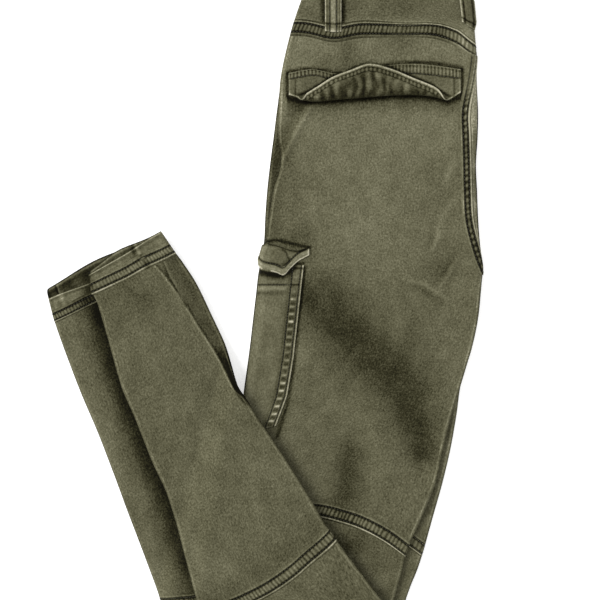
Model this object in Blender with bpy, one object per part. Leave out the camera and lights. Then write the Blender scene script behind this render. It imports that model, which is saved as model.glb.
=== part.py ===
"""Slim cargo trousers, folded in half lengthwise and then folded back at the knee.

They lie on the ground at z = 0, waistband towards +Y. Each leg is a flattened tube. On the
thigh the right leg lies under the left one, both with the seat side outwards. Past the
knee fold the order turns over: the left shin lies below and the right shin on top.
All sizes are millimetres until the meshes are made.
"""
import bmesh
import bpy
import numpy as np
from math import cos, pi, radians, sin

# Driving sizes, mm
WALL = 1.4              # cloth wall, seams included
GAP = 0.3               # clearance between pieces that are sewn together
TUBE = 6.5              # thickness of one flattened leg
LAYER = TUBE + GAP      # height that one leg adds to the stack
CURL = 3.4              # width of the rounded side of a flattened leg
WRAP = 7.0              # width of the rounded edge where the seat folds over both halves
CENTRE = (0.86, 1.85)   # middle of the outline in the tables below, moved to the origin
FOLD_LEAN = 0.10        # how far the rounded knee fold leans to the left, as a share of its radius
FOLD_STEPS = 6          # sections round the knee fold
CURL_STEPS = 3          # points round the rounded side of a flattened leg
KNEE_OVERLAP = 0.02     # clearance of a knee piece from its seam on the shin, in rows
CLOTH = (0.146, 0.139, 0.082)
CLOTH_LIGHT = (0.190, 0.182, 0.115)

# Lines across the thighs, waist to knee fold: heights of the left and right ends, how far the
# middle of the line arches towards the waist, the side edges of the top (left) half and of the
# lower (right) half, and the place of the seat seam on top.
THIGH_COLUMNS = ("y_left", "y_right", "arch", "top_left", "top_right", "low_left", "low_right", "seat")
THIGH_ROWS = {
    "waist": (302.4, 276.5, 9.7, 30.8, 230.6, 32.9, 230.6, 228.0),
    "flap": (250.6, 246.2, 0.0, 18.9, 230.6, 20.0, 231.1, 224.5),
    "hip": (214.9, 211.7, 0.0, 16.7, 232.2, 14.6, 232.2, 218.0),
    "pleat_top": (184.7, 183.6, 0.0, 15.7, 231.7, 10.8, 231.7, 218.5),
    "pleat": (155.5, 154.4, 0.0, 18.9, 230.0, 7.0, 230.0, 219.3),
    "seat": (126.4, 125.3, 0.0, 10.8, 231.1, 3.8, 231.1, 220.0),
    "low_seat": (96.1, 95.0, 0.0, 5.9, 232.3, 1.6, 232.3, 221.6),
    "fork": (72.4, 71.3, 0.0, 2.7, 234.0, 0.5, 234.0, 226.8),
    "fork_low": (52.9, 52.9, 0.0, -2.7, 236.0, -2.7, 236.0, 232.3),
    "crotch": (35.6, 35.6, 0.0, -4.4, 237.0, -5.9, 237.0, 237.0),
    "inseam": (16.2, 17.3, 0.0, -6.6, 234.9, -8.1, 236.0, 237.0),
    "pocket": (-16.2, -14.0, 0.0, -10.4, 231.7, -11.9, 232.7, 237.0),
    "pocket_low": (-48.6, -46.4, 2.2, -14.2, 224.6, -15.7, 225.7, 237.0),
    "mid": (-87.5, -83.2, 4.3, -19.8, 213.8, -21.1, 214.4, 237.0),
    "thigh_a": (-122.0, -116.6, 10.8, -32.9, 203.6, -25.9, 209.5, 237.0),
    "thigh_b": (-159.8, -153.4, 21.6, -44.8, 194.4, -32.4, 203.0, 237.0),
    "thigh_c": (-195.5, -190.1, 31.3, -55.6, 186.3, -38.3, 194.4, 237.0),
    "thigh_d": (-230.0, -226.8, 40.0, -65.9, 171.7, -44.3, 184.1, 237.0),
    "knee_seam": (-265.7, -263.5, 46.4, -76.1, 155.5, -50.2, 173.9, 237.0),
    "knee": (-291.6, -285.1, 32.4, -83.7, 150.1, -55.1, 166.9, 237.0),
    "knee_low": (-316.4, -302.4, 15.1, -91.3, 145.3, -59.4, 159.8, 237.0),
    "fold": (-338.0, -317.5, 0.0, -97.7, 140.9, -63.2, 154.4, 237.0),
}

# Lines across the shins, knee fold to hem: ends of the lower (left) shin and of the top (right)
# shin, the arch of the line, and the width of the slope beside the crease of the top shin.
SHIN_COLUMNS = ("low_xl", "low_yl", "low_xr", "low_yr", "top_xl", "top_yl", "top_xr", "top_yr",
                "arch", "slope")
SHIN_ROWS = {
    "fold": (-104.2, -338.0, 121.5, -318.6, -66.4, -335.9, 129.1, -316.4, 0.0, 0.0),
    "knee_seam": (-110.7, -320.8, 67.5, -249.5, -67.5, -328.3, 74.0, -243.0, -15.1, 0.0),
    "shin": (-121.5, -291.6, 43.7, -210.6, -77.2, -294.8, 51.3, -206.3, -7.6, 0.0),
    "calf_a": (-134.5, -257.0, 15.7, -164.2, -89.1, -251.6, 24.3, -163.1, 0.0, 0.0),
    "calf_b": (-148.5, -220.3, -14.6, -117.7, -104.2, -203.0, -6.5, -117.2, 0.0, 0.0),
    "calf_bc": (-156.0, -199.8, -26.0, -99.4, -113.4, -182.5, -17.5, -99.0, 0.0, 2.0),
    "calf_c": (-163.6, -179.3, -37.3, -81.0, -122.6, -162.0, -28.6, -81.0, 0.0, 6.5),
    "calf_d": (-179.8, -137.2, -53.5, -45.4, -138.8, -121.0, -41.6, -41.0, 0.0, 14.0),
    "calf_e": (-198.2, -94.0, -68.6, -11.9, -153.9, -85.3, -56.7, -7.6, 0.0, 19.4),
    "calf_f": (-214.4, -51.8, -83.7, 18.4, -167.9, -35.6, -71.8, 23.8, 0.0, 22.7),
    "ankle": (-224.1, -24.8, -92.3, 37.8, -177.7, -2.2, -84.8, 44.3, 0.0, 24.8),
    "cuff_seam": (-229.5, -7.6, -102.1, 55.1, -184.7, 19.4, -97.7, 62.6, 0.0, 25.9),
    "cuff_edge": (-236.0, 18.4, -110.7, 81.0, -189.5, 36.7, -110.7, 82.1, 0.0, 15.1),
}

THIGH = {name: np.array([row[i] for row in THIGH_ROWS.values()]) for i, name in enumerate(THIGH_COLUMNS)}
SHIN = {name: np.array([row[i] for row in SHIN_ROWS.values()]) for i, name in enumerate(SHIN_COLUMNS)}
THIGH_AT = {name: i for i, name in enumerate(THIGH_ROWS)}
SHIN_AT = {name: i for i, name in enumerate(SHIN_ROWS)}


# ---------------------------------------------------------------- small helpers

def smooth(value):
    """Ease from 0 to 1 with flat ends."""
    value = np.clip(value, 0.0, 1.0)
    return value * value * (3.0 - 2.0 * value)


def at(column, row):
    """A table column read at a fractional row, along a smooth curve through the rows."""
    last = len(column) - 1
    row = min(max(float(row), 0.0), float(last))
    i = min(int(row), last - 1)
    f = row - i
    a, b = column[i], column[i + 1]
    slope_a = (b - column[i - 1]) / 2 if i > 0 else b - a
    slope_b = (column[i + 2] - a) / 2 if i + 2 <= last else b - a
    return (a * (1 + 2 * f) * (1 - f) ** 2 + slope_a * f * (1 - f) ** 2
            + b * f * f * (3 - 2 * f) + slope_b * f * f * (f - 1))


def material(name, colour, roughness=0.9, metallic=0.0):
    made = bpy.data.materials.new(name)
    made.use_nodes = True
    shader = made.node_tree.nodes["Principled BSDF"]
    shader.inputs["Base Color"].default_value = (*colour, 1.0)
    shader.inputs["Roughness"].default_value = roughness
    shader.inputs["Metallic"].default_value = metallic
    return made


def loft(name, rings, colour, ends="wall"):
    """A closed solid through rings of equal counts. Its ends are capped as a thin wall or as a
    solid, or the last ring joins the first."""
    count = len(rings[0])
    points = [((x - CENTRE[0]) / 1000, (y - CENTRE[1]) / 1000, z / 1000) for ring in rings for x, y, z in ring]
    faces = []
    steps = len(rings) if ends == "joined" else len(rings) - 1
    for i in range(steps):
        j = (i + 1) % len(rings)
        for k in range(count):
            m = (k + 1) % count
            faces.append((i * count + k, i * count + m, j * count + m, j * count + k))
    for first in (0, (len(rings) - 1) * count):
        if ends == "wall":
            faces += wall_cap(first, count)
        elif ends == "solid":
            faces.append(tuple(range(first, first + count)))
    mesh = bpy.data.meshes.new(name)
    mesh.from_pydata(points, [], faces)
    mesh.validate()
    piece = bpy.data.objects.new(name, mesh)
    bpy.context.scene.collection.objects.link(piece)
    turn_faces_outwards(mesh)
    mesh.materials.append(material(name + "_cloth", colour))
    mesh.shade_smooth()
    mesh.set_sharp_from_angle(angle=radians(40))
    return piece


def wall_cap(first, count):
    """End of a thin wall: quads between its outer line and its inner line, which runs back."""
    return [(first + k, first + k + 1, first + count - 2 - k, first + count - 1 - k)
            for k in range(count // 2 - 1)]


def turn_faces_outwards(mesh):
    shape = bmesh.new()
    shape.from_mesh(mesh)
    bmesh.ops.recalc_face_normals(shape, faces=shape.faces)
    shape.to_mesh(mesh)
    shape.free()


# ---------------------------------------------------------------- how the legs lie on each other

# Left side of each thigh under the shins, as a straight line: x at a y, and its lean.
SIDE_LINES = {"low": (-21.7, -87.0, 0.165), "top": (-21.7, -87.0, 0.300)}
DRAPE_CLEAR = 7.0       # cloth keeps its full height this far beside what it lies on
DRAPE_RUN = 24.0        # and comes down over this distance
POCKET_RISE = 2.2       # height that the cargo pocket adds under the shins
SHIN_GAP = 1.2          # clearance between the two shins


def beside(half, x, y):
    """How far a point lies to the left of where cloth on that thigh has its full height."""
    side_x, side_y, lean = SIDE_LINES[half]
    return side_x + lean * np.minimum(y - side_y, 20.0) - DRAPE_CLEAR - x


def carried(half, x, y):
    """1 over a thigh, falling straight to 0 beside it."""
    return np.clip(1 - beside(half, x, y) / DRAPE_RUN, 0.0, 1.0)


def base(layer, x, y):
    """Height of the underside of a layer: 0 right thigh, 1 left thigh, 2 left shin, 3 right shin."""
    if layer == 0:
        return 0.0
    if layer == 1:
        return LAYER * (carried("low", x, y) if y < SIDE_LINES["low"][1] else 1.0)
    height = LAYER * carried("low", x, y) + (LAYER + POCKET_RISE) * carried("top", x, y)
    return height + (LAYER + SHIN_GAP if layer == 3 else 0.0)


# ---------------------------------------------------------------- a leg as a flattened tube

LEGS = {"right": {"thigh": "low", "shin": "top", "layers": (0, 3)},
        "left": {"thigh": "top", "shin": "low", "layers": (1, 2)}}


def thigh_ends(leg, row):
    half = LEGS[leg]["thigh"]
    left = np.array((at(THIGH[half + "_left"], row), at(THIGH["y_left"], row)))
    right = np.array((at(THIGH[half + "_right"], row), at(THIGH["y_right"], row)))
    return left, right, at(THIGH["arch"], row)


def shin_ends(leg, row):
    half = LEGS[leg]["shin"]
    left = np.array((at(SHIN[half + "_xl"], row), at(SHIN[half + "_yl"], row)))
    right = np.array((at(SHIN[half + "_xr"], row), at(SHIN[half + "_yr"], row)))
    return left, right, at(SHIN["arch"], row)


def across(ends, inset, side):
    """Plan point on a line across a leg: inset mm from its left or right end, or a fraction."""
    left, right, arch = ends
    width = np.linalg.norm(right - left)
    t = {"left": inset / width, "right": 1 - inset / width, "part": inset}[side]
    point = left + (right - left) * t
    return np.array((point[0], point[1] + 4 * arch * t * (1 - t)))


def tube_point(leg, station, inset, side, offset):
    """A point of a leg. offset is its distance from the middle of the tube, outwards of the knee
    fold. station is (stretch, value): thigh row, fold angle from 0 to pi, or shin row."""
    stretch, value = station
    low_layer, high_layer = LEGS[leg]["layers"]
    if stretch == "thigh":
        x, y = across(thigh_ends(leg, value), inset, side)
        return np.array((x, y, base(low_layer, x, y) + TUBE / 2 - offset))
    if stretch == "shin":
        x, y = across(shin_ends(leg, value), inset, side)
        return np.array((x, y, base(high_layer, x, y) + TUBE / 2 + offset))
    low = across(thigh_ends(leg, THIGH_AT["fold"]), inset, side)
    high = across(shin_ends(leg, SHIN_AT["fold"]), inset, side)
    z_low = base(low_layer, *low) + TUBE / 2
    z_high = base(high_layer, *high) + TUBE / 2
    radius = (z_high - z_low) / 2 + offset
    plan = low + (high - low) * (1 - cos(value)) / 2
    return np.array((plan[0] - FOLD_LEAN * radius * sin(value), plan[1] - radius * sin(value),
                     (z_low + z_high) / 2 - radius * cos(value)))


def bends(ends, half):
    """Fractions across a leg where the drape beside a thigh starts and ends."""
    start, end = beside(half, *ends[0]), beside(half, *ends[1])
    return (start - DRAPE_RUN) / (start - end), start / (start - end)


def parts_at(leg, station):
    """Fractions across a leg where its section has points, the bends of the drape among them."""
    stretch, value = station
    if stretch == "thigh":
        foot, top = bends(thigh_ends(leg, value), "low")
        foot = np.clip(foot, 0.030, 0.90)
        top = np.clip(top, foot + 0.035, 0.92)
        return np.array([foot, top] + list(top + (0.93 - top) * np.linspace(1 / 6, 1, 6)))
    if stretch == "shin":
        ends = shin_ends(leg, value)
        marks = sorted(bends(ends, "top") + bends(ends, "low"))
        low, parts = 0.05, []
        for k, mark in enumerate(marks):
            low = float(np.clip(mark, low + 0.012, 0.76 + 0.04 * k))
            parts.append(low)
        return np.array([parts[0] / 2] + parts + list(low + (0.96 - low) * np.linspace(1 / 3, 1, 3)))
    share = (1 - cos(value)) / 2
    thigh = parts_at(leg, ("thigh", THIGH_AT["fold"]))
    shin = parts_at(leg, ("shin", SHIN_AT["fold"]))
    return thigh + (shin - thigh) * share


def outline(inset, height, steps, parts):
    """Half a tube's section as (place, side, offset): up round the left side, over, down the right.
    inset is the wall's depth inside the tube, height its distance from the tube's middle."""
    curl = CURL - inset
    rise = [(inset + curl * (1 - cos(a)), GAP / 2 + (height - GAP / 2) * sin(a))
            for a in np.linspace(0, pi / 2, steps)]
    middle = [(t, "part", height) for t in parts]
    return ([(place, "left", offset) for place, offset in rise] + middle
            + [(place, "right", offset) for place, offset in reversed(rise)])


def wall(name, leg, outer, stations, colour=CLOTH):
    """One side of a leg as a wall, through the given stations. outer says which side."""
    sign = 1 if outer else -1
    rings = []
    for station in stations:
        parts = parts_at(leg, station)
        outside = outline(0.0, TUBE / 2, CURL_STEPS, parts)
        inside = outline(WALL, TUBE / 2 - WALL, CURL_STEPS, parts)
        rings.append([tube_point(leg, station, place, side, sign * offset)
                      for place, side, offset in outside + inside[::-1]])
    return loft(name, rings, colour)


def thigh_rows(first, last, shift=0.007):
    """Thigh stations from one named row to another, kept clear of the neighbours by shift."""
    rows = [float(row) for row in range(THIGH_AT[first], THIGH_AT[last] + 1)]
    rows[0] += shift
    rows[-1] -= shift
    return [("thigh", row) for row in rows]


def shin_rows(first, last, shift=0.006):
    rows = [float(row) for row in range(SHIN_AT[first], SHIN_AT[last] + 1)]
    rows[0] += shift
    rows[-1] -= shift
    return [("shin", row) for row in rows]


def fold_angles():
    """Fold stations past the thigh's last row."""
    return [("fold", float(angle)) for angle in np.linspace(0.0, pi, FOLD_STEPS)[1:]]


# ---------------------------------------------------------------- thigh backs, open at the seat

TOP = LAYER + TUBE                  # height of the top face of the stacked thighs
SPLIT = LAYER - GAP / 2             # height where the two halves touch


def edge_arc(x_right, low_z, high_z, width, depth, start, end, steps):
    """Points of a rounded right edge, between two heights, at an inset depth."""
    middle, radius = (low_z + high_z) / 2, (high_z - low_z) / 2 - depth
    return [(x_right - width + (width - depth) * cos(a), middle + radius * sin(a))
            for a in np.linspace(start, end, steps)]


def seat_angle(row):
    """Angle of the seat seam on the rounded edge: pi/2 while it is on the flat top, 0 at the fork."""
    reach = at(THIGH["seat"], row) - (at(THIGH["top_right"], row) - WRAP)
    return float(np.arccos(np.clip(reach / WRAP, 0.0, 1.0)))


def thigh_y(row, x, half):
    """Height on the line across a thigh at an x."""
    left, right, arch = thigh_ends("left" if half == "top" else "right", row)
    t = (x - left[0]) / (right[0] - left[0])
    return left[1] + (right[1] - left[1]) * t + 4 * arch * t * (1 - t)


def flat_run(leg, row, x_end, z):
    """The flat part of a back, at the same fractions of its width as in every other piece."""
    left, right, _ = thigh_ends(leg, row)
    return [(min(left[0] + (right[0] - left[0]) * t, x_end - 1.5 - (1 - t)), z)
            for t in parts_at(leg, ("thigh", row))]


def left_back_section(row, depth):
    """(x, z) of the left back from its side seam to the seat seam or the inseam."""
    left, right, _ = thigh_ends("left", row)
    middle, radius = LAYER + TUBE / 2, TUBE / 2 - depth
    points = [(left[0] + depth + (CURL - depth) * (1 - cos(a)), middle + GAP / 2 + (radius - GAP / 2) * sin(a))
              for a in np.linspace(0, pi / 2, CURL_STEPS)]
    seam = row <= THIGH_AT["crotch"]
    turn = seat_angle(row) if seam else 0.0
    edge_start = right[0] - (WRAP if seam else CURL)
    flat_end = min(edge_start, at(THIGH["seat"], row) - GAP / 2 - 0.5) if seam else edge_start
    points += flat_run("left", row, flat_end, TOP - depth)
    if seam:
        low_z, high_z, width = 0.0, TOP, WRAP
    else:
        low_z, high_z, width = LAYER, TOP, CURL
    if turn >= pi / 2 - 1e-6:
        end = at(THIGH["seat"], row) - GAP / 2
        points += [(end - k * 0.25, TOP - depth) for k in (1.2, 0.8, 0.4, 0)]
    else:
        points += edge_arc(right[0], low_z, high_z, width, depth, pi / 2, turn + 0.03, 4)
    return points


def right_back_section(row, depth):
    """(x, z) of the right back: side seam, flat on the ground, then round the fold at the seat."""
    left, right, _ = thigh_ends("right", row)
    middle, radius = TUBE / 2, TUBE / 2 - depth
    points = [(left[0] + depth + (CURL - depth) * (1 - cos(a)), middle - GAP / 2 - (radius - GAP / 2) * sin(a))
              for a in np.linspace(0, pi / 2, CURL_STEPS)]
    seam = row <= THIGH_AT["crotch"]
    width = WRAP if seam else CURL
    points += flat_run("right", row, right[0] - width, depth)
    if not seam:
        return points + edge_arc(right[0], 0.0, TUBE, CURL, depth, -pi / 2, -0.05, 6)
    turn = seat_angle(row)
    dense = edge_arc(right[0], 0.0, TOP, WRAP, depth, -pi / 2, turn - 0.03, 24)
    if turn >= pi / 2 - 1e-6:
        dense.append((at(THIGH["seat"], row) + GAP / 2, TOP - depth))
    dense = np.array(dense)
    run = np.concatenate(([0], np.cumsum(np.hypot(*np.diff(dense, axis=0).T))))
    along = np.linspace(0, run[-1], 6)
    return points + list(zip(np.interp(along, run, dense[:, 0]), np.interp(along, run, dense[:, 1])))


def place(points, row, half):
    """Set section points on their line, the top half lowered where nothing is under it."""
    placed = []
    for x, z in points:
        y = thigh_y(row, x, half)
        placed.append((x, y, z - (LAYER - base(1, x, y) if half == "top" else 0.0)))
    return placed


def thigh_wall(name, section, half, rows, colour=CLOTH):
    rings = []
    for _, row in rows:
        outside = place(section(row, 0.0), row, half)
        inside = place(section(row, WALL), row, half)
        rings.append(outside + inside[::-1])
    return loft(name, rings, colour)


# ---------------------------------------------------------------- hidden fronts, one solid

DEEP = WALL + GAP + 0.5     # inside the backs' walls
SEAT_SLACK = 0.8        # further inside the fold at the seat
HIDDEN_END = 0.96       # how far the hidden layers fill their last step round the knee fold


def lips(side):
    """Side of the hidden layers as (leg, inset, side, offset): the inner faces follow the backs,
    and the two fronts come out as rounded lips with a groove between them."""
    points = []
    inner = CURL - DEEP
    quarter = (pi / 2, pi / 4, 0.0)
    for a in quarter:
        points.append(("left", DEEP + inner * (1 - cos(a)), side,
                       -(GAP / 2 + (TUBE / 2 - DEEP - GAP / 2) * sin(a))))
    for a in reversed(quarter):
        points.append(("left", CURL * (1 - cos(a)), side, GAP + (TUBE / 2 - GAP) * sin(a)))
    for a in quarter:
        points.append(("right", CURL * (1 - cos(a)) + 0.1, side, -(GAP + (TUBE / 2 - GAP) * sin(a))))
    for a in reversed(quarter):
        points.append(("right", DEEP + inner * (1 - cos(a)), side,
                       GAP / 2 + (TUBE / 2 - DEEP - GAP / 2) * sin(a)))
    return points


def seat_edge(row):
    """Right edge of the hidden layers inside the fold at the seat: twelve points, top to bottom."""
    _, right, _ = thigh_ends("left", row)
    inner = DEEP + SEAT_SLACK
    high = edge_arc(right[0], 0.0, TOP, WRAP, DEEP, pi / 2, pi / 2, 1)
    high += edge_arc(right[0], 0.0, TOP, WRAP, inner, 0.87, 0.03, 2)
    lip = [(right[0] - inner - 0.05, TOP / 2 + step) for step in (0.12, 0.08, 0.04)]
    upper = high + lip
    lower = [(x, TOP - z) for x, z in reversed(upper)]
    return [(x, thigh_y(row, x, "top"), z) for x, z in upper + lower]


def hidden_ring(station):
    """Section of the hidden layers: top face, right side, bottom face, left side."""
    top_flat = [("left", t, "part", -(TUBE / 2 - DEEP)) for t in parts_at("left", station)]
    low_flat = [("right", t, "part", TUBE / 2 - DEEP) for t in parts_at("right", station)[::-1]]
    stretch, row = station

    def place_of(spot):
        leg, inset, side, offset = spot
        return tuple(tube_point(leg, station, inset, side, offset))

    left_side = [place_of(spot) for spot in lips("left")]
    if stretch == "thigh" and row <= THIGH_AT["crotch"]:
        right_side = seat_edge(row)
    else:
        right_side = [place_of(spot) for spot in lips("right")]
    return ([place_of(spot) for spot in top_flat] + right_side + [place_of(spot) for spot in low_flat]
            + left_side[::-1])


def hidden_fronts():
    """Both fronts and all turned-in edges, as one rounded solid that ends inside the knee fold."""
    stations = thigh_rows("waist", "fold") + fold_angles()
    rings = [np.array(hidden_ring(station)) for station in stations]
    rings[-1] = rings[-2] + (rings[-1] - rings[-2]) * HIDDEN_END
    return loft("hidden_fronts", rings, CLOTH, ends="solid")


# ---------------------------------------------------------------- waistband and belt loops

BAND_ROWS = {"seam": (30.8, 302.4, 230.6, 276.5, 9.7), "top": (48.1, 353.2, 225.2, 337.0, 8.0)}
BAND_WALL = 1.6


def band_place(x_part, v, z):
    """A point of the waistband. v runs from its seam (0) to its top edge (1)."""
    xl, yl, xr, yr, arch = [a + (b - a) * v for a, b in zip(BAND_ROWS["seam"], BAND_ROWS["top"])]
    x = xl + x_part[0] * (xr - xl) + x_part[1]
    t = (x - xl) / (xr - xl)
    return np.array((x, yl + (yr - yl) * t + 4 * arch * t * (1 - t), z))


def band_path(depth):
    """Way round the folded waistband at a depth in its wall: (fraction of width, extra x, z)."""
    way = [((t, 0.0), TOP - depth) for t in np.linspace(0.95, 0.05, 8)]
    for middle in (LAYER + TUBE / 2, TUBE / 2):
        turn = [((0.0, CURL - (CURL - depth) * sin(a)), middle + (TUBE / 2 - depth) * cos(a))
                for a in np.linspace(0.0, pi, 7)]
        if middle > LAYER:
            inward = [((t, 0.0), LAYER + depth) for t in np.linspace(0.1, 0.9, 5)]
            bend = [((0.93, (depth + GAP / 2) * sin(a)), SPLIT + (depth + GAP / 2) * cos(a))
                    for a in np.linspace(0.0, pi, 5)]
            outward = [((t, 0.0), TUBE - depth) for t in np.linspace(0.9, 0.1, 5)]
            way += turn + inward + bend + outward
        else:
            way += turn
    way += [((t, 0.0), depth) for t in np.linspace(0.1, 0.9, 5)]
    way += [((1.0, -WRAP + (WRAP - depth) * sin(a)), TOP / 2 - (TOP / 2 - depth) * cos(a))
            for a in np.linspace(0.0, pi, 9)]
    return way


def waistband():
    heights = (0.006, 0.5, 1.0)
    rings = []
    for outer, inner in zip(band_path(0.0), band_path(BAND_WALL)):
        rings.append([band_place(*(outer[0], v, outer[1])) for v in heights]
                     + [band_place(*(inner[0], v, inner[1])) for v in reversed(heights)])
    return loft("waistband", rings, CLOTH, ends="joined")


LOOP_WALL = 1.3
LOOP_LIFT = 2.0         # how far the middle of a belt loop stands off
SIDE_LOOP_SPAN = (0.03, 0.99)   # ends of a loop, as parts of the waistband's height
BACK_LOOP_SPAN = (0.40, 0.99)
SIDE_LOOP_X = (66.4, 72.3, 78.2, 84.2)
BACK_LOOP_TURN = (-0.85, 0.97)  # its sides as angles round the fold, flat on top where negative
BACK_LOOP_FLAT = 9.0            # mm on the flat for each radian of a negative angle


def strap_heights(span):
    """(v, lift) along a belt loop, from its foot to the waistband's top edge."""
    low, high = span
    return [(low + (high - low) * part, GAP + LOOP_LIFT * sin(pi * part) ** 0.6)
            for part in np.linspace(0, 1, 7)]


def side_belt_loop():
    rings = []
    seam_x, top_x = BAND_ROWS["seam"][0], BAND_ROWS["top"][0]
    for x in SIDE_LOOP_X:
        along = [band_place((0.0, x - seam_x - (top_x - seam_x) * v), v, TOP) + np.array((0, 0, lift))
                 for v, lift in strap_heights(SIDE_LOOP_SPAN)]
        rings.append([p + np.array((0, 0, LOOP_WALL)) for p in along] + along[::-1])
    return loft("belt_loop_side", rings, CLOTH_LIGHT)


def back_belt_loop():
    """The loop over the seat seam bends round the fold at the right edge."""
    rings = []
    for a in np.linspace(*BACK_LOOP_TURN, 7):
        lean = max(a, 0.0)
        flat = min(a, 0.0) * BACK_LOOP_FLAT
        outward = np.array((sin(lean), 0.0, cos(lean)))
        along = [(band_place((1.0, -WRAP + WRAP * sin(lean) + flat), v, TOP / 2 * (1 + cos(lean))), lift)
                 for v, lift in strap_heights(BACK_LOOP_SPAN)]
        rings.append([p + outward * (lift + LOOP_WALL) for p, lift in along]
                     + [p + outward * lift for p, lift in along[::-1]])
    return loft("belt_loop_back", rings, CLOTH_LIGHT)


# ---------------------------------------------------------------- back pocket flap

# Across the flap: heights of its seam, of the line where it rolls over, and of its free edge.
FLAP_ROWS = [
    # x, seam, roll, edge
    (27.5, 252.2, 226.8, 227.3),
    (40.0, 255.0, 224.5, 227.5),
    (54.5, 257.0, 222.5, 234.9),
    (75.0, 253.3, 224.1, 247.9),
    (95.6, 252.7, 225.7, 256.0),
    (113.9, 256.0, 227.3, 261.4),
    (136.6, 260.3, 229.0, 256.0),
    (160.4, 260.3, 229.5, 246.2),
    (183.0, 258.1, 227.9, 237.1),
    (201.4, 256.0, 223.6, 225.7),
    (212.8, 254.9, 229.0, 229.0),
]
FLAP_WALL = 1.3
FLAP_ROLL = 1.9         # radius of the roll at the middle of the wall


def flap_path(seam, roll, edge, depth):
    """(y, z) of the flap from its seam down, round the roll and back up to its edge."""
    back = max(edge - roll, 0.0)
    turn = pi * float(smooth(back / 7.0))
    radius = FLAP_ROLL + depth
    floor = GAP + FLAP_WALL / 2 - depth
    points = [(seam + (roll + FLAP_ROLL - seam) * t, floor) for t in (0.0, 0.5, 0.97)]
    points += [(roll + FLAP_ROLL - radius * sin(a), floor + depth + FLAP_ROLL - radius * cos(a))
               for a in np.linspace(0.0, turn, 5)]
    straight = max(back - FLAP_ROLL, 0.05)
    y, z = points[-1]
    points += [(y - cos(turn) * straight * t, z + sin(turn) * straight * t + 0.4 * t * smooth(back / 20.0))
               for t in (0.35, 0.7, 1.0)]
    return points


def back_pocket_flap():
    rings = []
    for x, seam, roll, edge in FLAP_ROWS:
        under = flap_path(seam, roll, edge, FLAP_WALL / 2)
        over = flap_path(seam, roll, edge, -FLAP_WALL / 2)
        rings.append([(x, y, TOP + z) for y, z in over + under[::-1]])
    return loft("back_pocket_flap", rings, CLOTH_LIGHT)


# ---------------------------------------------------------------- cargo pocket and its flap

POCKET_WALL = 1.6
POCKET_EDGE = ((60.0, 45.5), (28.1, 41.6), (-17.3, 36.7), (-57.2, 32.4), (-101.5, 25.4), (-143.0, 12.5))
POCKET_ROWS = ("fork_low", "crotch", "inseam", "pocket", "pocket_low", "mid", "thigh_a")
POCKET_END = 0.55       # how far the pocket reaches past thigh_a, in rows


def round_side(left_x, reach, angle):
    """(x, z) on the left side of the top leg, reach outside its cloth."""
    return (left_x + CURL + (CURL + reach) * cos(angle),
            LAYER + TUBE / 2 + (TUBE / 2 + reach) * sin(angle))


def pocket_line(row, reach):
    left, _, _ = thigh_ends("left", row)
    edge_x = np.interp(-left[1], [-y for y, _ in POCKET_EDGE], [x for _, x in POCKET_EDGE])
    points = [(edge_x + (left[0] + CURL - edge_x) * t, TOP + reach) for t in (0.0, 0.3, 0.6, 0.9)]
    points += [round_side(left[0], reach, radians(a)) for a in np.linspace(90.0, 205.0, 6)]
    return place(points, row, "top")


def cargo_pocket():
    rings = []
    for name in POCKET_ROWS + ("thigh_b",):
        row = THIGH_AT[name]
        rings.append(np.array(pocket_line(row, GAP + POCKET_WALL) + pocket_line(row, GAP)[::-1]))
    rings[-1] = rings[-2] + (rings[-1] - rings[-2]) * POCKET_END
    return loft("cargo_pocket", rings, CLOTH_LIGHT)


# Across the flap, from its end under the leg's side to its free end: angle round the side or
# place on top, and the heights of its seam and of its free edge.
CARGO_FLAP_ROWS = [
    # where, at, seam, edge
    ("side", 205.0, 66.0, 50.0),
    ("side", 182.0, 66.4, 48.0),
    ("side", 159.0, 67.0, 45.5),
    ("side", 136.0, 67.6, 43.5),
    ("side", 113.0, 68.2, 41.5),
    ("side", 90.0, 69.0, 40.0),
    ("top", 5.0, 68.5, 37.5),
    ("top", 14.0, 66.5, 36.0),
    ("top", 21.0, 64.0, 35.5),
    ("top", 29.0, 61.5, 41.0),
    ("top", 37.0, 61.0, 49.0),
    ("top", 44.0, 62.5, 53.0),
    ("top", 49.5, 64.0, 56.0),
]
CARGO_FLAP_WALL = 1.6
CARGO_FLAP_REACH = 2 * GAP + POCKET_WALL + 0.15     # clear of the pocket under it


def cargo_flap():
    side_rows = [THIGH_AT[name] for name in ("fork", "fork_low", "crotch")]
    heights = [-at(THIGH["y_left"], row) for row in side_rows]
    edges = [at(THIGH["top_left"], row) for row in side_rows]
    rings = []
    for where, value, seam, edge in CARGO_FLAP_ROWS:
        ring = []
        for reach, parts in ((CARGO_FLAP_REACH + CARGO_FLAP_WALL, (0.0, 0.5, 1.0)),
                             (CARGO_FLAP_REACH, (1.0, 0.5, 0.0))):
            for part in parts:
                y = seam + (edge - seam) * part
                left_x = np.interp(-y, heights, edges)
                x, z = round_side(left_x, reach, radians(value)) if where == "side" else (value, TOP + reach)
                ring.append((x, y, z))
        rings.append(ring)
    return loft("cargo_flap", rings, CLOTH_LIGHT)


# ---------------------------------------------------------------- hems at the ankles

HEM_WALL = 1.7
HEM_SHORT = {"left": 0.35, "right": 0.06}     # the front of the hem ends this many rows earlier


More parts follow.
